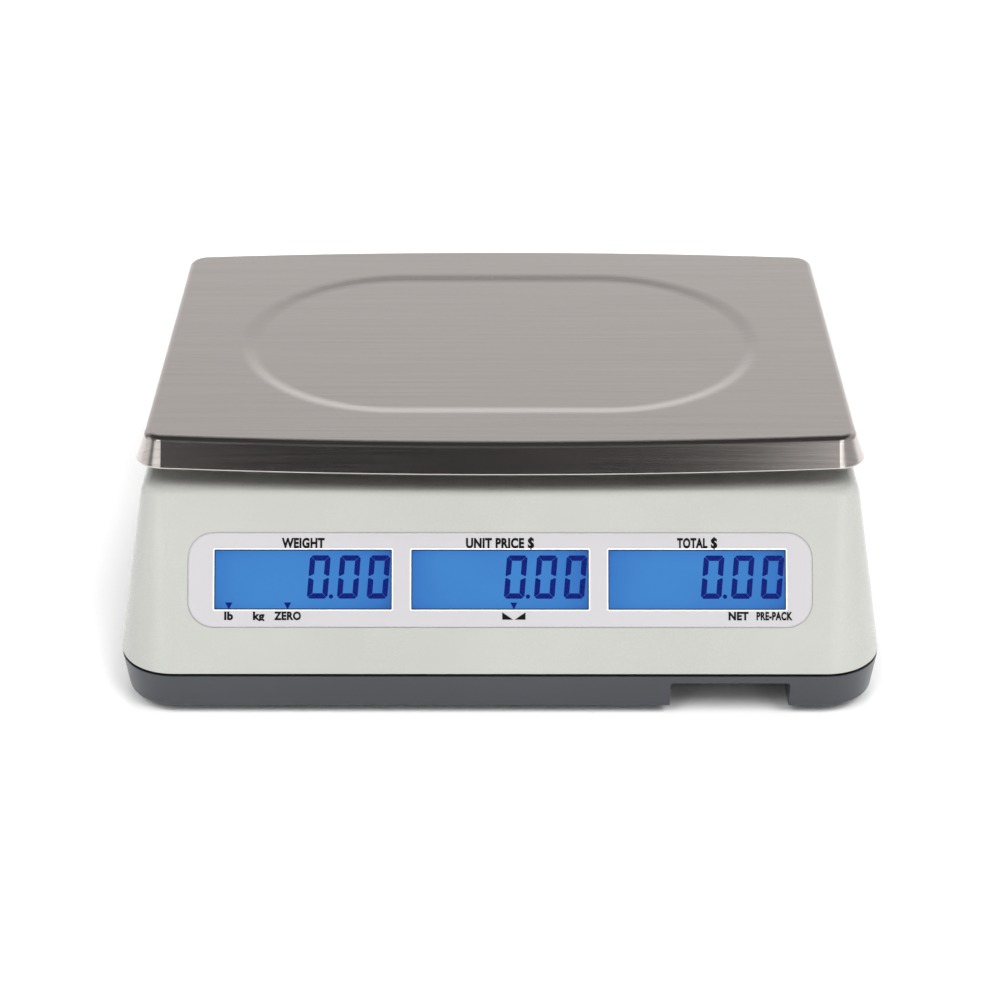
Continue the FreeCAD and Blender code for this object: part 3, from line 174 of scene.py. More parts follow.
def plastic(name, colour, rough=0.42, depth=0.00004, variation=0.035, spec=0.5, gap=None):
    """Moulded plastic with clouding, spark-eroded grain and handling marks; above a gap's height it is
    painted almost black, as painted shade in the parting gap.
    """
    p = Paint(name, Specular_IOR_Level=spec)
    clouds = p.noise(9.0, 4.0)
    grains = p.noise(2600.0, 2.0, 0.6)
    smears = p.noise(1.0, 1.0, 0.4, stretch=(26.0, 11.0, 19.0))
    tint = p.ramp(clouds, (0.3, shade(colour, 1 - variation)), (0.7, shade(colour, 1 + variation)))
    speck = p.spread(grains, 0.0, 0.16, 0.35, 0.75)
    body = p.mix(speck, tint, shade(colour, 0.82))
    # Painted shade: from the gap's height up, the colour turns almost black in place of the shadow inside the
    # parting gap.
    if gap is not None:
        height = p.split(p.place)[2]
        body = p.mix(p.spread(height, 0.0, 0.9, gap - 0.2 * MM, gap), body, shade(colour, 0.1))
    p.set(Base_Color=body,
          Roughness=p.math("ADD", p.spread(smears, rough - 0.02, rough + 0.02, 0.1, 0.9),
                           p.spread(grains, -0.015, 0.015)),
          Normal=p.bump(grains, depth))
    return p.material


LIP_FACING = 0.35


def brushed_steel(name):
    """Brushed sheet: the lines run along x, on the top and on the front and back lips."""
    p = Paint(name)
    steel = rgb(206, 199, 195)
    x, y, z = p.split(p.place)
    lip = p.math("GREATER_THAN", p.math("ABSOLUTE", p.split(p.normal)[1]), LIP_FACING)
    line = p.math("ADD", y, p.math("MULTIPLY", z, lip))

    def brushing(along, across, offset, detail, rough):
        """Noise drawn out along x and packed close across it."""
        run = p.join(p.math("MULTIPLY", x, along), p.math("MULTIPLY", line, across), offset)
        return p.noise(1.0, detail, rough, vector=run)

    fine = brushing(7.0, 2300.0, 0.0, 3.0, 0.62)
    broad = brushing(2.2, 420.0, 3.0, 2.0, 0.5)
    streaks = brushing(5.0, 1500.0, 7.0, 3.0, 0.6)
    clouds = p.noise(5.0, 3.0)
    tint = p.mix(p.spread(fine, 0.0, 1.0, 0.25, 0.75), shade(steel, 0.84), shade(steel, 1.06))
    tint = p.mix(p.spread(broad, 0.0, 0.35, 0.3, 0.7), tint, shade(steel, 1.12))
    tint = p.mix(p.spread(clouds, 0.0, 0.12), tint, shade(steel, 0.85))
    tint = p.mix(p.math("MULTIPLY", lip, p.spread(streaks, 0.0, 0.4, 0.35, 0.7)), tint, shade(steel, 0.5))
    p.set(Base_Color=tint,
          Metallic=p.spread(p.split(p.normal)[2], 1.0, 0.82, 0.9, 0.99),
          Roughness=p.math("ADD", p.spread(fine, 0.15, 0.22, 0.25, 0.75), p.spread(clouds, -0.01, 0.015)),
          Normal=p.bump(fine, 0.000012, 0.6))
    return p.material


def metal(name, colour, rough, scale, stretch=(1.0, 1.0, 1.0), depth=0.00003):
    """Cast, machined or plated metal, by how its texture is stretched."""
    p = Paint(name, Metallic=1.0)
    texture = p.noise(scale, 4.0, 0.6, stretch=stretch)
    clouds = p.noise(24.0, 3.0)
    tint = p.ramp(texture, (0.3, shade(colour, 0.92)), (0.7, shade(colour, 1.08)))
    p.set(Base_Color=p.mix(p.spread(clouds, 0.0, 0.3), tint, shade(colour, 0.8)),
          Roughness=p.spread(texture, rough - 0.07, rough + 0.08),
          Normal=p.bump(texture, depth))
    return p.material


def rubber(name, colour):
    """Matt rubber, paler where dust has settled."""
    p = Paint(name, Specular_IOR_Level=0.3)
    dust = p.noise(60.0, 4.0)
    grain = p.noise(900.0, 2.0)
    p.set(Base_Color=p.ramp(dust, (0.35, colour), (0.75, shade(colour, 1.6))),
          Roughness=p.spread(dust, 0.62, 0.85),
          Normal=p.bump(grain, 0.00006))
    return p.material


def ink(name, colour, rough=0.5, uneven=0.12):
    """Screen-printed ink, a little uneven."""
    p = Paint(name, Specular_IOR_Level=0.2)
    patches = p.noise(700.0, 2.0)
    p.set(Base_Color=p.ramp(patches, (0.3, shade(colour, 1 - uneven)), (0.7, shade(colour, 1 + uneven))),
          Roughness=p.spread(patches, rough - 0.08, rough + 0.08),
          Normal=p.bump(patches, 0.00001))
    return p.material


def film(name):
    """Polycarbonate overlay with its fine matt print side."""
    p = Paint(name, Specular_IOR_Level=0.5, Coat_Weight=0.15, Coat_Roughness=0.3)
    colour = rgb(186, 184, 187)
    matt = p.noise(3200.0, 2.0)
    waves = p.noise(14.0, 2.0)
    tint = p.ramp(waves, (0.3, shade(colour, 0.985)), (0.7, shade(colour, 1.015)))
    p.set(Base_Color=p.mix(p.spread(matt, 0.0, 0.06), tint, shade(colour, 0.8)),
          Roughness=p.spread(matt, 0.3, 0.42),
          Normal=p.bump(matt, 0.000012, under=p.bump(waves, 0.0003, 0.4)))
    return p.material


def backlit_glass(name, windows):
    """Blue backlit display glass, brightest in the middle of each window."""
    p = Paint(name, Emission_Strength=1.0)
    middle = windows[1]
    face = middle.face
    across = p.along(face.across)
    up = p.along(face.up)
    pitch = windows[2].u - middle.u
    start = -1.5 * pitch + middle.u + face.origin.dot(face.across)
    local = p.math("SUBTRACT", p.math("MODULO", p.math("SUBTRACT", across, start), pitch), pitch / 2)
    rise = p.math("SUBTRACT", up, middle.v + face.origin.dot(face.up))
    flat = p.math("POWER", p.math("ABSOLUTE", p.math("DIVIDE", local, middle.width / 2)), 5.0)
    tall = p.math("POWER", p.math("ABSOLUTE", p.math("DIVIDE", rise, middle.height / 2)), 6.0)
    away = p.math("ADD", p.math("MULTIPLY", flat, 0.5), p.math("MULTIPLY", tall, 0.4))
    clouds = p.noise(26.0, 2.0)
    away = p.math("ADD", away, p.spread(clouds, -0.12, 0.12))
    away = p.math("ADD", away, p.spread(local, 0.0, 0.25, -0.02, 0.04))
    glow = p.ramp(away, (0.0, rgb(60, 128, 196)), (0.55, rgb(48, 110, 184)), (1.0, rgb(34, 86, 152)))
    cells = p.noise(5200.0, 1.0)
    p.set(Base_Color=p.ramp(cells, (0.3, rgb(16, 30, 52)), (0.7, rgb(24, 42, 70))),
          Emission_Color=glow,
          Roughness=p.spread(clouds, 0.17, 0.26),
          Normal=p.bump(cells, 0.000004))
    return p.material


def laminate(name):
    """Green solder mask with copper tracks under it and dark parts on top."""
    p = Paint(name, Specular_IOR_Level=0.5)
    tracks = p.add("ShaderNodeTexBrick")
    p.feed(tracks.inputs["Vector"], p.place)
    p.feed(tracks.inputs["Scale"], 90.0)
    p.feed(tracks.inputs["Mortar Size"], 0.06)
    for socket, level in (("Color1", 0.0), ("Color2", 0.0), ("Mortar", 1.0)):
        tracks.inputs[socket].default_value = (level, level, level, 1.0)
    mottle = p.noise(130.0, 3.0)
    green = p.mix(tracks.outputs["Color"], rgb(24, 84, 52), rgb(44, 116, 70))
    p.set(Base_Color=p.mix(p.spread(mottle, 0.0, 0.35), green, rgb(14, 58, 36)),
          Roughness=p.spread(mottle, 0.25, 0.42),
          Normal=p.bump(tracks.outputs["Fac"], 0.00006))
    return p.material


def vial_fluid(name):
    """The level's clear yellow-green fluid."""
    p = Paint(name, IOR=1.45, Transmission_Weight=0.75)
    swirl = p.noise(160.0, 3.0)
    p.set(Base_Color=p.ramp(swirl, (0.3, rgb(188, 214, 70)), (0.7, rgb(206, 228, 96))),
          Roughness=p.spread(swirl, 0.03, 0.1),
          Normal=p.bump(swirl, 0.00002, 0.3))
    return p.material


# ---------------------------------------------------------------- faces and shapes

class Face:
    """A flat face of a CAD node, with its own axes across, up and out."""

    def __init__(self, node, towards, across):
        mesh = nodes[node].data
        towards = Vector(towards).normalized()
        facing = [polygon for polygon in mesh.polygons if polygon.normal.dot(towards) > 0.9]
        largest = max(facing, key=lambda polygon: polygon.area)
        self.out = largest.normal.copy()
        self.across = Vector(across)
        self.up = self.out.cross(self.across)
        self.origin = largest.center - self.across * largest.center.dot(self.across)

    def at(self, u, v, w):
        return self.origin + self.across * u + self.up * v + self.out * w

    def inside(self, point):
        offset = point - self.origin
        return offset.dot(self.across), offset.dot(self.up), offset.dot(self.out)


class Window:
    """One display opening: its middle, its height along the face's normal, and its size."""

    def __init__(self, face, corners, margin):
        us, vs, ws = zip(*(face.inside(corner) for corner in corners))
        self.face = face
        self.u, self.v, self.w = (min(us) + max(us)) / 2, (min(vs) + max(vs)) / 2, max(ws)
        self.width, self.height = max(us) - min(us) - margin, max(vs) - min(vs) - margin


def islands(node):
    """The vertex positions of each separate solid of a CAD node."""
    mesh = nodes[node].data
    home = list(range(len(mesh.vertices)))

    def find(i):
        """The vertex that stands for i's group."""
        while home[i] != i:
            home[i] = home[home[i]]
            i = home[i]
        return i

    spots = {}
    for vertex in mesh.vertices:
        key = tuple(round(c, 6) for c in vertex.co)
        home[find(vertex.index)] = find(spots.setdefault(key, vertex.index))
    for polygon in mesh.polygons:
        first = find(polygon.vertices[0])
        for other in polygon.vertices[1:]:
            home[find(other)] = first
    groups = {}
    for vertex in mesh.vertices:
        groups.setdefault(find(vertex.index), []).append(vertex.co.copy())
    return list(groups.values())


def windows_of(node, face, margin):
    """A node's windows in order across the face, each smaller than its glass by the margin."""
    found = [Window(face, corners, margin) for corners in islands(node)]
    return sorted(found, key=lambda window: window.u)


def piece(name, outlines, face, height, material, body, slot):
    """Flat printed shape on a face, from outlines in the face's own (u, v)."""
    build = bmesh.new()
    for outline in outlines:
        build.faces.new([build.verts.new(face.at(u, v, height)) for u, v in outline])
    return finish_piece(name, build, material, body, face.out)


def finish_piece(name, build, material, body, out):
    """An object from a built mesh, facing out and riding on a body."""
    build.normal_update()
    for polygon in build.faces:
        if polygon.normal.dot(out) < 0:
            polygon.normal_flip()
    mesh = bpy.data.meshes.new(name)
    build.to_mesh(mesh)
    build.free()
    mesh.materials.append(material)
    made = bpy.data.objects.new(name, mesh)
    scene.collection.objects.link(made)
    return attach(made, body)


def rounded(u, v, width, height, radius, steps=8):
    """Points round a rounded rectangle."""
    points = []
    for quarter, (sx, sy) in enumerate(((1, 1), (-1, 1), (-1, -1), (1, -1))):
        centre = (u + sx * (width / 2 - radius), v + sy * (height / 2 - radius))
        for step in range(steps + 1):
            angle = math.pi / 2 * (quarter + step / steps)
            points.append((centre[0] + radius * math.cos(angle), centre[1] + radius * math.sin(angle)))
    return points


def ring(u, v, width, height, radius, line):
    """Quads between a rounded rectangle and the same one grown by the line's width."""
    inner = rounded(u, v, width, height, radius)
    outer = rounded(u, v, width + 2 * line, height + 2 * line, radius + line)
    count = len(inner)
    return [(inner[i], outer[i], outer[(i + 1) % count], inner[(i + 1) % count]) for i in range(count)]


def disc(u, v, radius, steps=24):
    """Points round a circle."""
    turn = 2 * math.pi / steps
    return [(u + radius * math.cos(i * turn), v + radius * math.sin(i * turn)) for i in range(steps)]


LETTER_SPACING = 1.08


def glyphs(text, bold):
    """Vertices and faces of a line of text at size 1, centred on x and standing on y = 0."""
    curve = bpy.data.curves.new("letters", "FONT")
    curve.body = text
    curve.align_x = "CENTER"
    curve.offset = bold
    curve.space_character = LETTER_SPACING
    curve.resolution_u = 5
    holder = bpy.data.objects.new("letters", curve)
    scene.collection.objects.link(holder)
    bpy.context.view_layer.update()
    solved = holder.evaluated_get(bpy.context.evaluated_depsgraph_get())
    mesh = bpy.data.meshes.new_from_object(solved)
    points = [(vertex.co.x, vertex.co.y) for vertex in mesh.vertices]
    faces = [tuple(polygon.vertices) for polygon in mesh.polygons]
    bpy.data.objects.remove(holder)
    bpy.data.curves.remove(curve)
    bpy.data.meshes.remove(mesh)
    return points, faces


CAPITAL = max(y for x, y in glyphs("H", 0.0)[0])
CAPTION_BOLD = 0.05
LEGEND_BOLD = 0.018


def lettering(name, words, face, height, material, body, slot, bold):
    """Printed words; each is (text, u, v, capital height, width), centred on (u, v)."""
    build = bmesh.new()
    for text, u, v, capital, width in words:
        points, faces = glyphs(text, bold)
        size = capital / CAPITAL
        xs = [x for x, y in points]
        middle, stretch = (min(xs) + max(xs)) / 2, width / (max(xs) - min(xs))
        made = [build.verts.new(face.at(u + (x - middle) * stretch, v + y * size - capital / 2, height))
                for x, y in points]
        for corners in faces:
            build.faces.new([made[i] for i in corners])
    return finish_piece(name, build, material, body, face.out)


# ---------------------------------------------------------------- display contents

INK_HEIGHT = 0.03 * MM
DIGIT = {"height": 21.6 * MM, "width": 10.3 * MM, "line": 2.7 * MM, "gap": 0.12 * MM, "lean": 4.5}
DIGIT_COLUMNS = (7.8 * MM, 22.8 * MM, 37.6 * MM)
DIGIT_RISE = 1.3 * MM
POINT_COLUMN, POINT_RADIUS = 13.9 * MM, 1.1 * MM
POINTER_WIDTH, POINTER_HEIGHT = 3.5 * MM, 3.6 * MM
POINTER_COLUMNS = ((-37.0 * MM, -7.7 * MM), (6.9 * MM,), ())
FRAME_RADIUS, FRAME_LINE = 0.4 * MM, 0.55 * MM
# Dark ring painted on the glass just inside each window's edge: painted shade cast by the window's edge.
WINDOW_SHADE_INSET, WINDOW_SHADE_RADIUS, WINDOW_SHADE_LINE = 1.1 * MM, 0.1 * MM, 0.6 * MM

# Captions over and under the windows: (text, window, distance from its middle, width).
UPPER_CAPITAL, UPPER_GAP = 4.5 * MM, 3.2 * MM
UPPER_WORDS = (("WEIGHT", 0, 0.0, 21.4 * MM),
               ("UNIT PRICE", 1, -2.5 * MM, 29 * MM), ("S", 1, 15.4 * MM, 3.2 * MM),
               ("TOTAL", 2, -2.4 * MM, 15.2 * MM), ("S", 2, 8.5 * MM, 3.2 * MM))
LOWER_CAPITAL, LOWER_GAP = 3.7 * MM, 3.1 * MM
LOWER_WORDS = (("lb", 0, -37 * MM, 4.4 * MM), ("kg", 0, -22 * MM, 5.8 * MM),
               ("ZERO", 0, -7.7 * MM, 13.5 * MM),
               ("NET", 2, 20.6 * MM, 10 * MM), ("PRE-PACK", 2, 38.5 * MM, 18 * MM))
BAR_WIDTH, BAR_HEIGHT, BAR_RADIUS = 0.7 * MM, 6.2 * MM, 0.05 * MM
MARK_HALF, MARK_HEIGHT, MARK_SLIT = 5.8 * MM, 3.7 * MM, 0.35 * MM
# Grey line painted round the overlay's edge: painted shade of that edge.
EDGE_SHADE_INSET, EDGE_SHADE_LINE = 0.9 * MM, 0.32 * MM


def zero_digit(u, v, height, width, line, gap, lean):
    """Outlines of the six lit segments of a leaning zero whose middle is at (u, v)."""
    w, h, t, g = width, height, line, gap
    half, inner, tip = height / 2, line / 2 + gap, line / 8 + gap
    cut, nick = line / 2, line / 4
    top = [(cut, h), (w - cut, h), (w - nick, h - nick),
           (w - t - g, h - t), (t + g, h - t), (nick, h - nick)]
    upper_right = [(w, h - cut), (w - nick, h - nick - g), (w - t, h - t - g), (w - t, half + inner),
                   (w - nick, half + tip), (w, half + inner / 2)]
    segments = []
    for shape in (top, upper_right):
        segments.append(shape)
        segments.append([(x, h - y) for x, y in shape])
    segments.append([(w - x, y) for x, y in upper_right])
    segments.append([(w - x, h - y) for x, y in upper_right])
    slope = math.tan(math.radians(lean))
    left, foot = u - w / 2, v - half
    return [[(left + x + slope * (y - half), foot + y) for x, y in segment] for segment in segments]


def lit_shapes(window, pointers):
    """What the glass of one window shows: three zeros, the decimal point and the pointers."""
    digit_middle = window.v + DIGIT_RISE
    shapes = []
    for column in DIGIT_COLUMNS:
        shapes += zero_digit(window.u + column, digit_middle, **DIGIT)
    low = digit_middle - DIGIT["height"] / 2 + POINT_RADIUS
    shapes.append(disc(window.u + POINT_COLUMN, low, POINT_RADIUS))
    foot = window.v - window.height / 2
    for column in pointers:
        tip = window.u + column
        top, half = foot + POINTER_HEIGHT, POINTER_WIDTH / 2
        shapes.append([(tip, foot), (tip + half, top), (tip - half, top)])
    return shapes


def fill_display(side, face, windows, overlay_top):
    """Digits, pointers, the painted shade inside each window's edge, and the frames of one side's three
    windows.
    """
    lit, window_shades, frames = [], [], []
    for window, pointers in zip(windows, POINTER_COLUMNS):
        u, v, width, height = window.u, window.v, window.width, window.height
        lit += lit_shapes(window, pointers)
        frames += ring(u, v, width, height, FRAME_RADIUS, FRAME_LINE)
        # Painted shade: a dark ring on the glass just inside the window's edge.
        window_shades += ring(u, v, width - WINDOW_SHADE_INSET, height - WINDOW_SHADE_INSET, WINDOW_SHADE_RADIUS, WINDOW_SHADE_LINE)
    on_glass, on_film = windows[0].w + INK_HEIGHT, overlay_top + INK_HEIGHT
    piece(side + "_digits", lit, face, on_glass, segment_ink, "housing", "lcd_glass")
    piece(side + "_lcd_window_shade", window_shades, face, on_glass, window_shade_ink, "housing", "lcd_glass")
    piece(side + "_window_frames", frames, face, on_film, white_ink, "housing", "overlay_film")


def print_captions(side, face, windows, overlay_top):
    """Words over and under the windows, the bars that make S a dollar sign, and the tare slope mark."""
    middle = windows[1]
    above = middle.v + middle.height / 2 + UPPER_GAP
    below = middle.v - middle.height / 2 - LOWER_GAP
    words = [(text, windows[place].u + across, above, UPPER_CAPITAL, width)
             for text, place, across, width in UPPER_WORDS]
    bars = [rounded(u, v, BAR_WIDTH, BAR_HEIGHT, BAR_RADIUS, 1)
            for text, u, v, *sizes in words if text == "S"]
    words += [(text, windows[place].u + across, below, LOWER_CAPITAL, width)
              for text, place, across, width in LOWER_WORDS]
    on_film = overlay_top + INK_HEIGHT
    lettering(side + "_lettering", words, face, on_film, black_ink, "housing", "overlay_film", CAPTION_BOLD)
    piece(side + "_dollar_bars", bars, face, overlay_top + 1.2 * INK_HEIGHT, black_ink, "housing",
          "overlay_film")
    mark = middle.u + POINTER_COLUMNS[1][0]
    low = below - MARK_HEIGHT / 2
    signs = [[(mark + end, low), (mark + near, low), (mark + end, low + MARK_HEIGHT)]
             for end, near in ((-MARK_HALF, -MARK_SLIT), (MARK_HALF, MARK_SLIT))]
    piece(side + "_slope_mark", signs, face, on_film, black_ink, "housing", "overlay_film")


def overlay_edge(side, face, node, radius):
    """Thin grey line painted round the overlay as painted shade of its edge, and the height of its surface
    over the glass.
    """
    us, vs, ws = zip(*(face.inside(vertex.co) for vertex in nodes[node].data.vertices))
    width, height = max(us) - min(us), max(vs) - min(vs)
    middle = ((min(us) + max(us)) / 2, (min(vs) + max(vs)) / 2)
    outline = ring(*middle, width - EDGE_SHADE_INSET, height - EDGE_SHADE_INSET, radius - EDGE_SHADE_INSET / 2,
                   EDGE_SHADE_LINE)
    surface = max(ws)
    # Painted shade: a grey ring just inside the overlay's edge.
    piece(side + "_overlay_shade_line", outline, face, surface + INK_HEIGHT, overlay_shade_ink, "housing", "overlay_film")
    return surface


# ---------------------------------------------------------------- materials by slot

GLASS_MARGIN = 2.4 * MM
customer = Face("customer_lcd_panels", towards=(0, -0.85, 0.53), across=(1, 0, 0))
seller = Face("seller_lcd_panels", towards=(0, 0.57, 0.82), across=(-1, 0, 0))
customer_windows = windows_of("customer_lcd_panels", customer, GLASS_MARGIN)
seller_windows = windows_of("seller_lcd_panels", seller, GLASS_MARGIN)

segment_ink = ink("lcd_segment", rgb(12, 26, 100), 0.3, uneven=0.04)
# Dark navy ink for the painted shade inside each window's edge.
window_shade_ink = ink("painted_window_shade", rgb(20, 40, 74), 0.4)
white_ink = ink("white_print", rgb(248, 248, 248), 0.4)
black_ink = ink("black_print", rgb(12, 12, 13), 0.5)
# Grey ink for the painted shade round the overlay's edge.
overlay_shade_ink = ink("painted_edge_shade", rgb(176, 172, 175), 0.45)
legend_ink = ink("legend_print", rgb(236, 238, 240), 0.45)

BASE_GREY = rgb(65, 67, 72)
# Height of the parting gap; above it the base plastic is painted almost black as painted shade.
PARTING_SHADE_HEIGHT = 24.05 * MM
SLOTS = {
    "platter": brushed_steel("platter_steel"),
    "support_aluminium": metal("cast_aluminium", rgb(176, 178, 180), 0.5, 260.0, depth=0.00008),
    "cell_aluminium": metal("milled_aluminium", rgb(196, 198, 202), 0.32, 900.0, stretch=(0.06, 1.0, 1.0)),
    "zinc_steel": metal("zinc_plate", rgb(190, 192, 194), 0.3, 700.0),
    "brass": metal("brass", rgb(190, 160, 92), 0.3, 900.0, stretch=(1.0, 1.0, 0.1)),
    "pad_rubber": rubber("pad_rubber", rgb(38, 38, 40)),
    "mat_rubber": rubber("mat_rubber", rgb(150, 154, 158)),
    "upper_plastic": plastic("upper_plastic", rgb(177, 178, 173), rough=0.27),
    "lower_plastic": plastic("lower_plastic", BASE_GREY, rough=0.3, variation=0.05, spec=0.3, gap=PARTING_SHADE_HEIGHT),
    "key_plastic": plastic("key_plastic", rgb(78, 86, 100), rough=0.46, depth=0.00003),
    "light_box": plastic("light_box", rgb(190, 214, 240), rough=0.55, variation=0.02),
    "black_plastic": plastic("black_plastic", rgb(36, 36, 38), rough=0.4, variation=0.1),
    "rocker_plastic": plastic("rocker_plastic", rgb(158, 32, 30), rough=0.3, depth=0.00002, variation=0.1),
    "battery_case": plastic("battery_case", rgb(64, 66, 70), rough=0.55, variation=0.08),
    "overlay_film": film("overlay_film"),
    "board_laminate": laminate("board_laminate"),
    "vial_clear": vial_fluid("vial_fluid"),
}
OWN = {
    "customer_lcd_panels": backlit_glass("customer_glass", customer_windows),
    "seller_lcd_panels": backlit_glass("seller_glass", seller_windows),
    "key_clear": plastic("clear_key_plastic", rgb(150, 58, 52), rough=0.46, depth=0.00003),
}
for row in frame["record"]["subparts"]:
    name = row["node"]
    finish = OWN.get(name) or SLOTS[row["material_slot"]]
    for place in nodes[name].material_slots:
        place.link = "OBJECT"
        place.material = finish

# ---------------------------------------------------------------- printed and lit details

OVERLAY_RADIUS = 13 * MM
for side, face, windows in (("customer", customer, customer_windows), ("seller", seller, seller_windows)):
    top = overlay_edge(side, face, side + "_overlay", OVERLAY_RADIUS)
    fill_display(side, face, windows, top)
    print_captions(side, face, windows, top)

# Each key's legend: its text, capital height and width, in millimetres.
LEGENDS = {
    **{digit: (digit, 6.2, 4.2) for digit in "0123456789"},
    "1": ("1", 6.2, 1.3), "point": (".", 6.2, 1.4), "clear": ("C", 5.8, 4.6),
    "zero": ("ZERO", 3.8, 13.0), "tare": ("TARE", 3.8, 12.6), "unit": ("kg/lb", 3.8, 13.0),
    "store": ("STORE", 3.8, 15.5), "prepack": ("PRE-PACK", 3.6, 22.0), "light": ("LIGHT", 3.8, 14.0),
}
FLAG_OF_ONE = ((0.65, 3.1), (2.0, 2.2), (2.0, 1.3), (0.65, 2.0))


def key_top(name):
    """The middle of a key's top on the seller's face, and its height."""
    corners = [seller.inside(vertex.co) for vertex in nodes[name].data.vertices]
    crown = max(w for u, v, w in corners)
    us, vs = zip(*((u, v) for u, v, w in corners if w > crown - 0.01 * MM))
    return (min(us) + max(us)) / 2, (min(vs) + max(vs)) / 2, crown


for key, (text, capital, width) in LEGENDS.items():
    name = "key_" + key
    u, v, crown = key_top(name)
    word = (text, u, v, capital * MM, width * MM)
    printed = (seller, crown + INK_HEIGHT, legend_ink, name, "key_plastic")
    lettering("legend_" + key, [word], *printed, LEGEND_BOLD)
    if key == "1":
        flag = [(u - left * MM, v + rise * MM) for left, rise in FLAG_OF_ONE]
        piece("legend_1_flag", [flag], *printed)

# ---------------------------------------------------------------- stage, lights and camera

FLOOR_HALF = 6.0
SUN_DISTANCE = 3.0


def lay_floor():
    """Plain pale floor, far larger than the view."""
    mesh = bpy.data.meshes.new("floor")
    build = bmesh.new()
    bmesh.ops.create_grid(build, x_segments=2, y_segments=2, size=FLOOR_HALF)
    build.to_mesh(mesh)
    build.free()
    white = Paint("studio_floor", Specular_IOR_Level=0.2)
    paper = white.noise(3.0, 2.0)
    white.set(Base_Color=white.ramp(paper, (0.3, (0.88, 0.88, 0.88, 1)), (0.7, (0.9, 0.9, 0.9, 1))),
              Roughness=white.spread(paper, 0.8, 0.9))
    mesh.materials.append(white.material)
    floor = bpy.data.objects.new("floor", mesh)
    scene.collection.objects.link(floor)


def sun(name, azimuth, elevation, spread, strength):
    """Large far softbox; azimuth is measured from the customer's side towards +X."""
    light = bpy.data.lights.new(name, "SUN")
    light.angle = math.radians(spread)
    light.energy = strength
    holder = bpy.data.objects.new(name, light)
    around, rise = math.radians(azimuth), math.radians(elevation)
    towards = Vector((math.sin(around) * math.cos(rise), -math.cos(around) * math.cos(rise), math.sin(rise)))
    holder.location = towards * SUN_DISTANCE
    holder.rotation_euler = towards.to_track_quat("Z", "Y").to_euler()
    holder.visible_glossy = False
    scene.collection.objects.link(holder)


lay_floor()
sun("right_softbox", 50, 54, 34, 2.15)
sun("left_softbox", -44, 54, 34, 1.6)
sun("rear_softbox", 176, 60, 30, 1.3)

# The room is brightness by direction, for the steel to reflect. Bounds are (start, full, fade, end):
# of the tangent of azimuth in front of the scale, or of the direction's height.
RIGHT_CARD, RIGHT_CARD_LEVEL = (0.29, 0.36, 0.60, 0.75), 2.0
LEFT_CARD, LEFT_CARD_LEVEL = (0.40, 0.46, 0.95, 1.4), 1.25
CARD_HEIGHT, CARD_DIMMING = (-0.3, -0.1, 0.6, 0.7), (0.28, 0.42)
LAMP_AZIMUTH, LAMP_HEIGHT, LAMP_LEVEL = (0.55, 0.64, 0.84, 0.94), (0.43, 0.48, 0.57, 0.62), 3.6
CEILING_LEVEL, CEILING_HEIGHT = 0.06, (0.58, 0.8)
NEAREST_AHEAD = 0.05


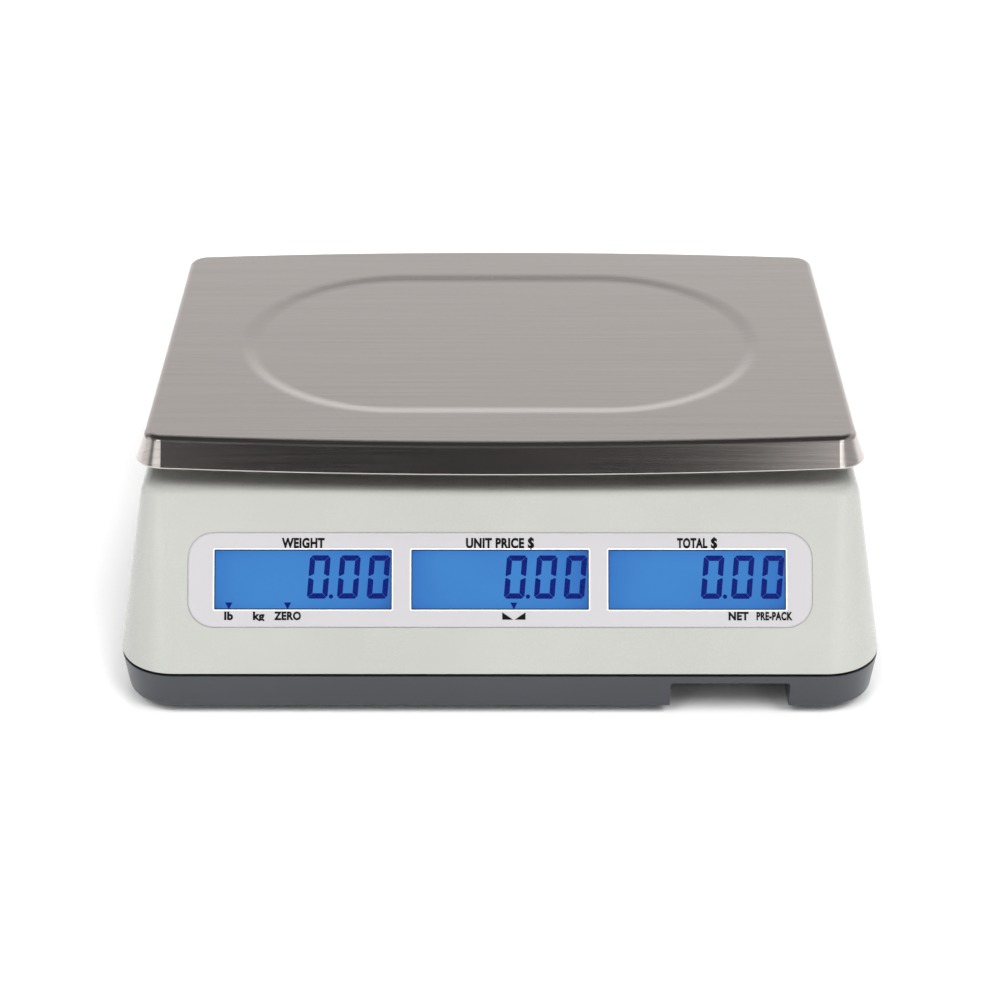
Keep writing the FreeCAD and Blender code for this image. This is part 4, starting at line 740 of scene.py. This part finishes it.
class Room(Graph):
    """World light by direction: cards and walls in front, an even wall behind and a dim ceiling."""

    def __init__(self):
        scene.world = bpy.data.worlds.new("studio")
        scene.world.use_nodes = True
        super().__init__(scene.world.node_tree, "Generated")
        self.x, self.y, self.z = self.split(self.place)

    def window(self, value, start, full, fade, end):
        """One between the inner bounds, falling to nothing at the outer ones."""
        return self.math("MULTIPLY", self.spread(value, 0.0, 1.0, start, full),
                         self.spread(value, 1.0, 0.0, fade, end))

    def blend(self, share, one, other):
        """From one level to the other as the share goes from nothing to one."""
        return self.math("ADD", self.math("MULTIPLY", one, self.math("SUBTRACT", 1.0, share)),
                         self.math("MULTIPLY", other, share))

    def card(self, azimuth, bounds, level):
        """Upright bright card with a small lamp above it."""
        upright = self.math("MULTIPLY", self.window(self.z, *CARD_HEIGHT),
                            self.spread(self.z, 1.0, 0.4, *CARD_DIMMING))
        strip = self.math("MULTIPLY", self.window(azimuth, *bounds), upright)
        lamp = self.math("MULTIPLY", self.window(azimuth, *LAMP_AZIMUTH), self.window(self.z, *LAMP_HEIGHT))
        return self.math("ADD", self.math("MULTIPLY", strip, level), self.math("MULTIPLY", lamp, LAMP_LEVEL))

    def front(self):
        """Two cards between two side walls, over a front that is dark low down."""
        ahead = self.math("MAXIMUM", self.math("MULTIPLY", self.y, -1.0), NEAREST_AHEAD)
        azimuth = self.math("DIVIDE", self.x, ahead)
        right_card = self.card(azimuth, RIGHT_CARD, RIGHT_CARD_LEVEL)
        left_card = self.card(self.math("MULTIPLY", azimuth, -1.0), LEFT_CARD, LEFT_CARD_LEVEL)
        left_wall = self.math("MULTIPLY", self.spread(self.x, 0.9, 0.0, -0.95, -0.82),
                              self.spread(self.y, 1.0, 0.3, 0.0, 0.25))
        right_wall = self.spread(self.x, 0.0, 0.47, 0.42, 0.6)
        cards = self.math("ADD", right_card, left_card)
        lit = self.math("ADD", cards, self.math("MAXIMUM", left_wall, right_wall))
        return self.math("MAXIMUM", lit, self.spread(self.z, 0.03, 0.14, 0.33, 0.5))

    def behind(self):
        """Wall behind the scale, brighter low down and to the sides."""
        even = self.spread(self.x, 0.39, 0.465, -0.6, 0.6)
        low_glow = self.spread(self.z, 1.9, 1.0, 0.2, 0.44)
        side_glow = self.spread(self.math("ABSOLUTE", self.x), 1.0, 1.7, 0.24, 0.46)
        return self.math("MULTIPLY", even, self.math("MAXIMUM", low_glow, side_glow))

    def light(self):
        """Feed the whole room to the world's background."""
        around = self.blend(self.spread(self.y, 0.0, 1.0, 0.2, 0.65), self.front(), self.behind())
        overhead = self.spread(self.z, 0.0, 1.0, *CEILING_HEIGHT)
        background = self.tree.nodes["Background"]
        background.inputs["Color"].default_value = (1.0, 1.0, 1.0, 1.0)
        self.feed(background.inputs["Strength"], self.blend(overhead, around, CEILING_LEVEL))


Room().light()
scene.view_settings.view_transform = "Standard"
scene.view_settings.look = "None"

LENS, SENSOR = 86.54, 36.0
CAMERA_FROM_PLATTER = Vector((0.00104, -1.16736, 0.55996))
CAMERA_DOWN, CAMERA_TURN = 29.446, 0.06


def place_camera():
    """Camera on the customer's side, looking down at the platter."""
    low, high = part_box("platter")
    platter_middle = Vector(((low.x + high.x) / 2, (low.y + high.y) / 2, high.z))
    camera = bpy.data.cameras.new("camera")
    camera.sensor_width = SENSOR
    camera.lens = LENS
    camera.clip_start, camera.clip_end = 0.05, 50.0
    holder = bpy.data.objects.new("camera", camera)
    holder.location = platter_middle + CAMERA_FROM_PLATTER
    holder.rotation_euler = Euler((math.radians(90 - CAMERA_DOWN), 0, math.radians(CAMERA_TURN)))
    scene.collection.objects.link(holder)
    scene.camera = holder


place_camera()
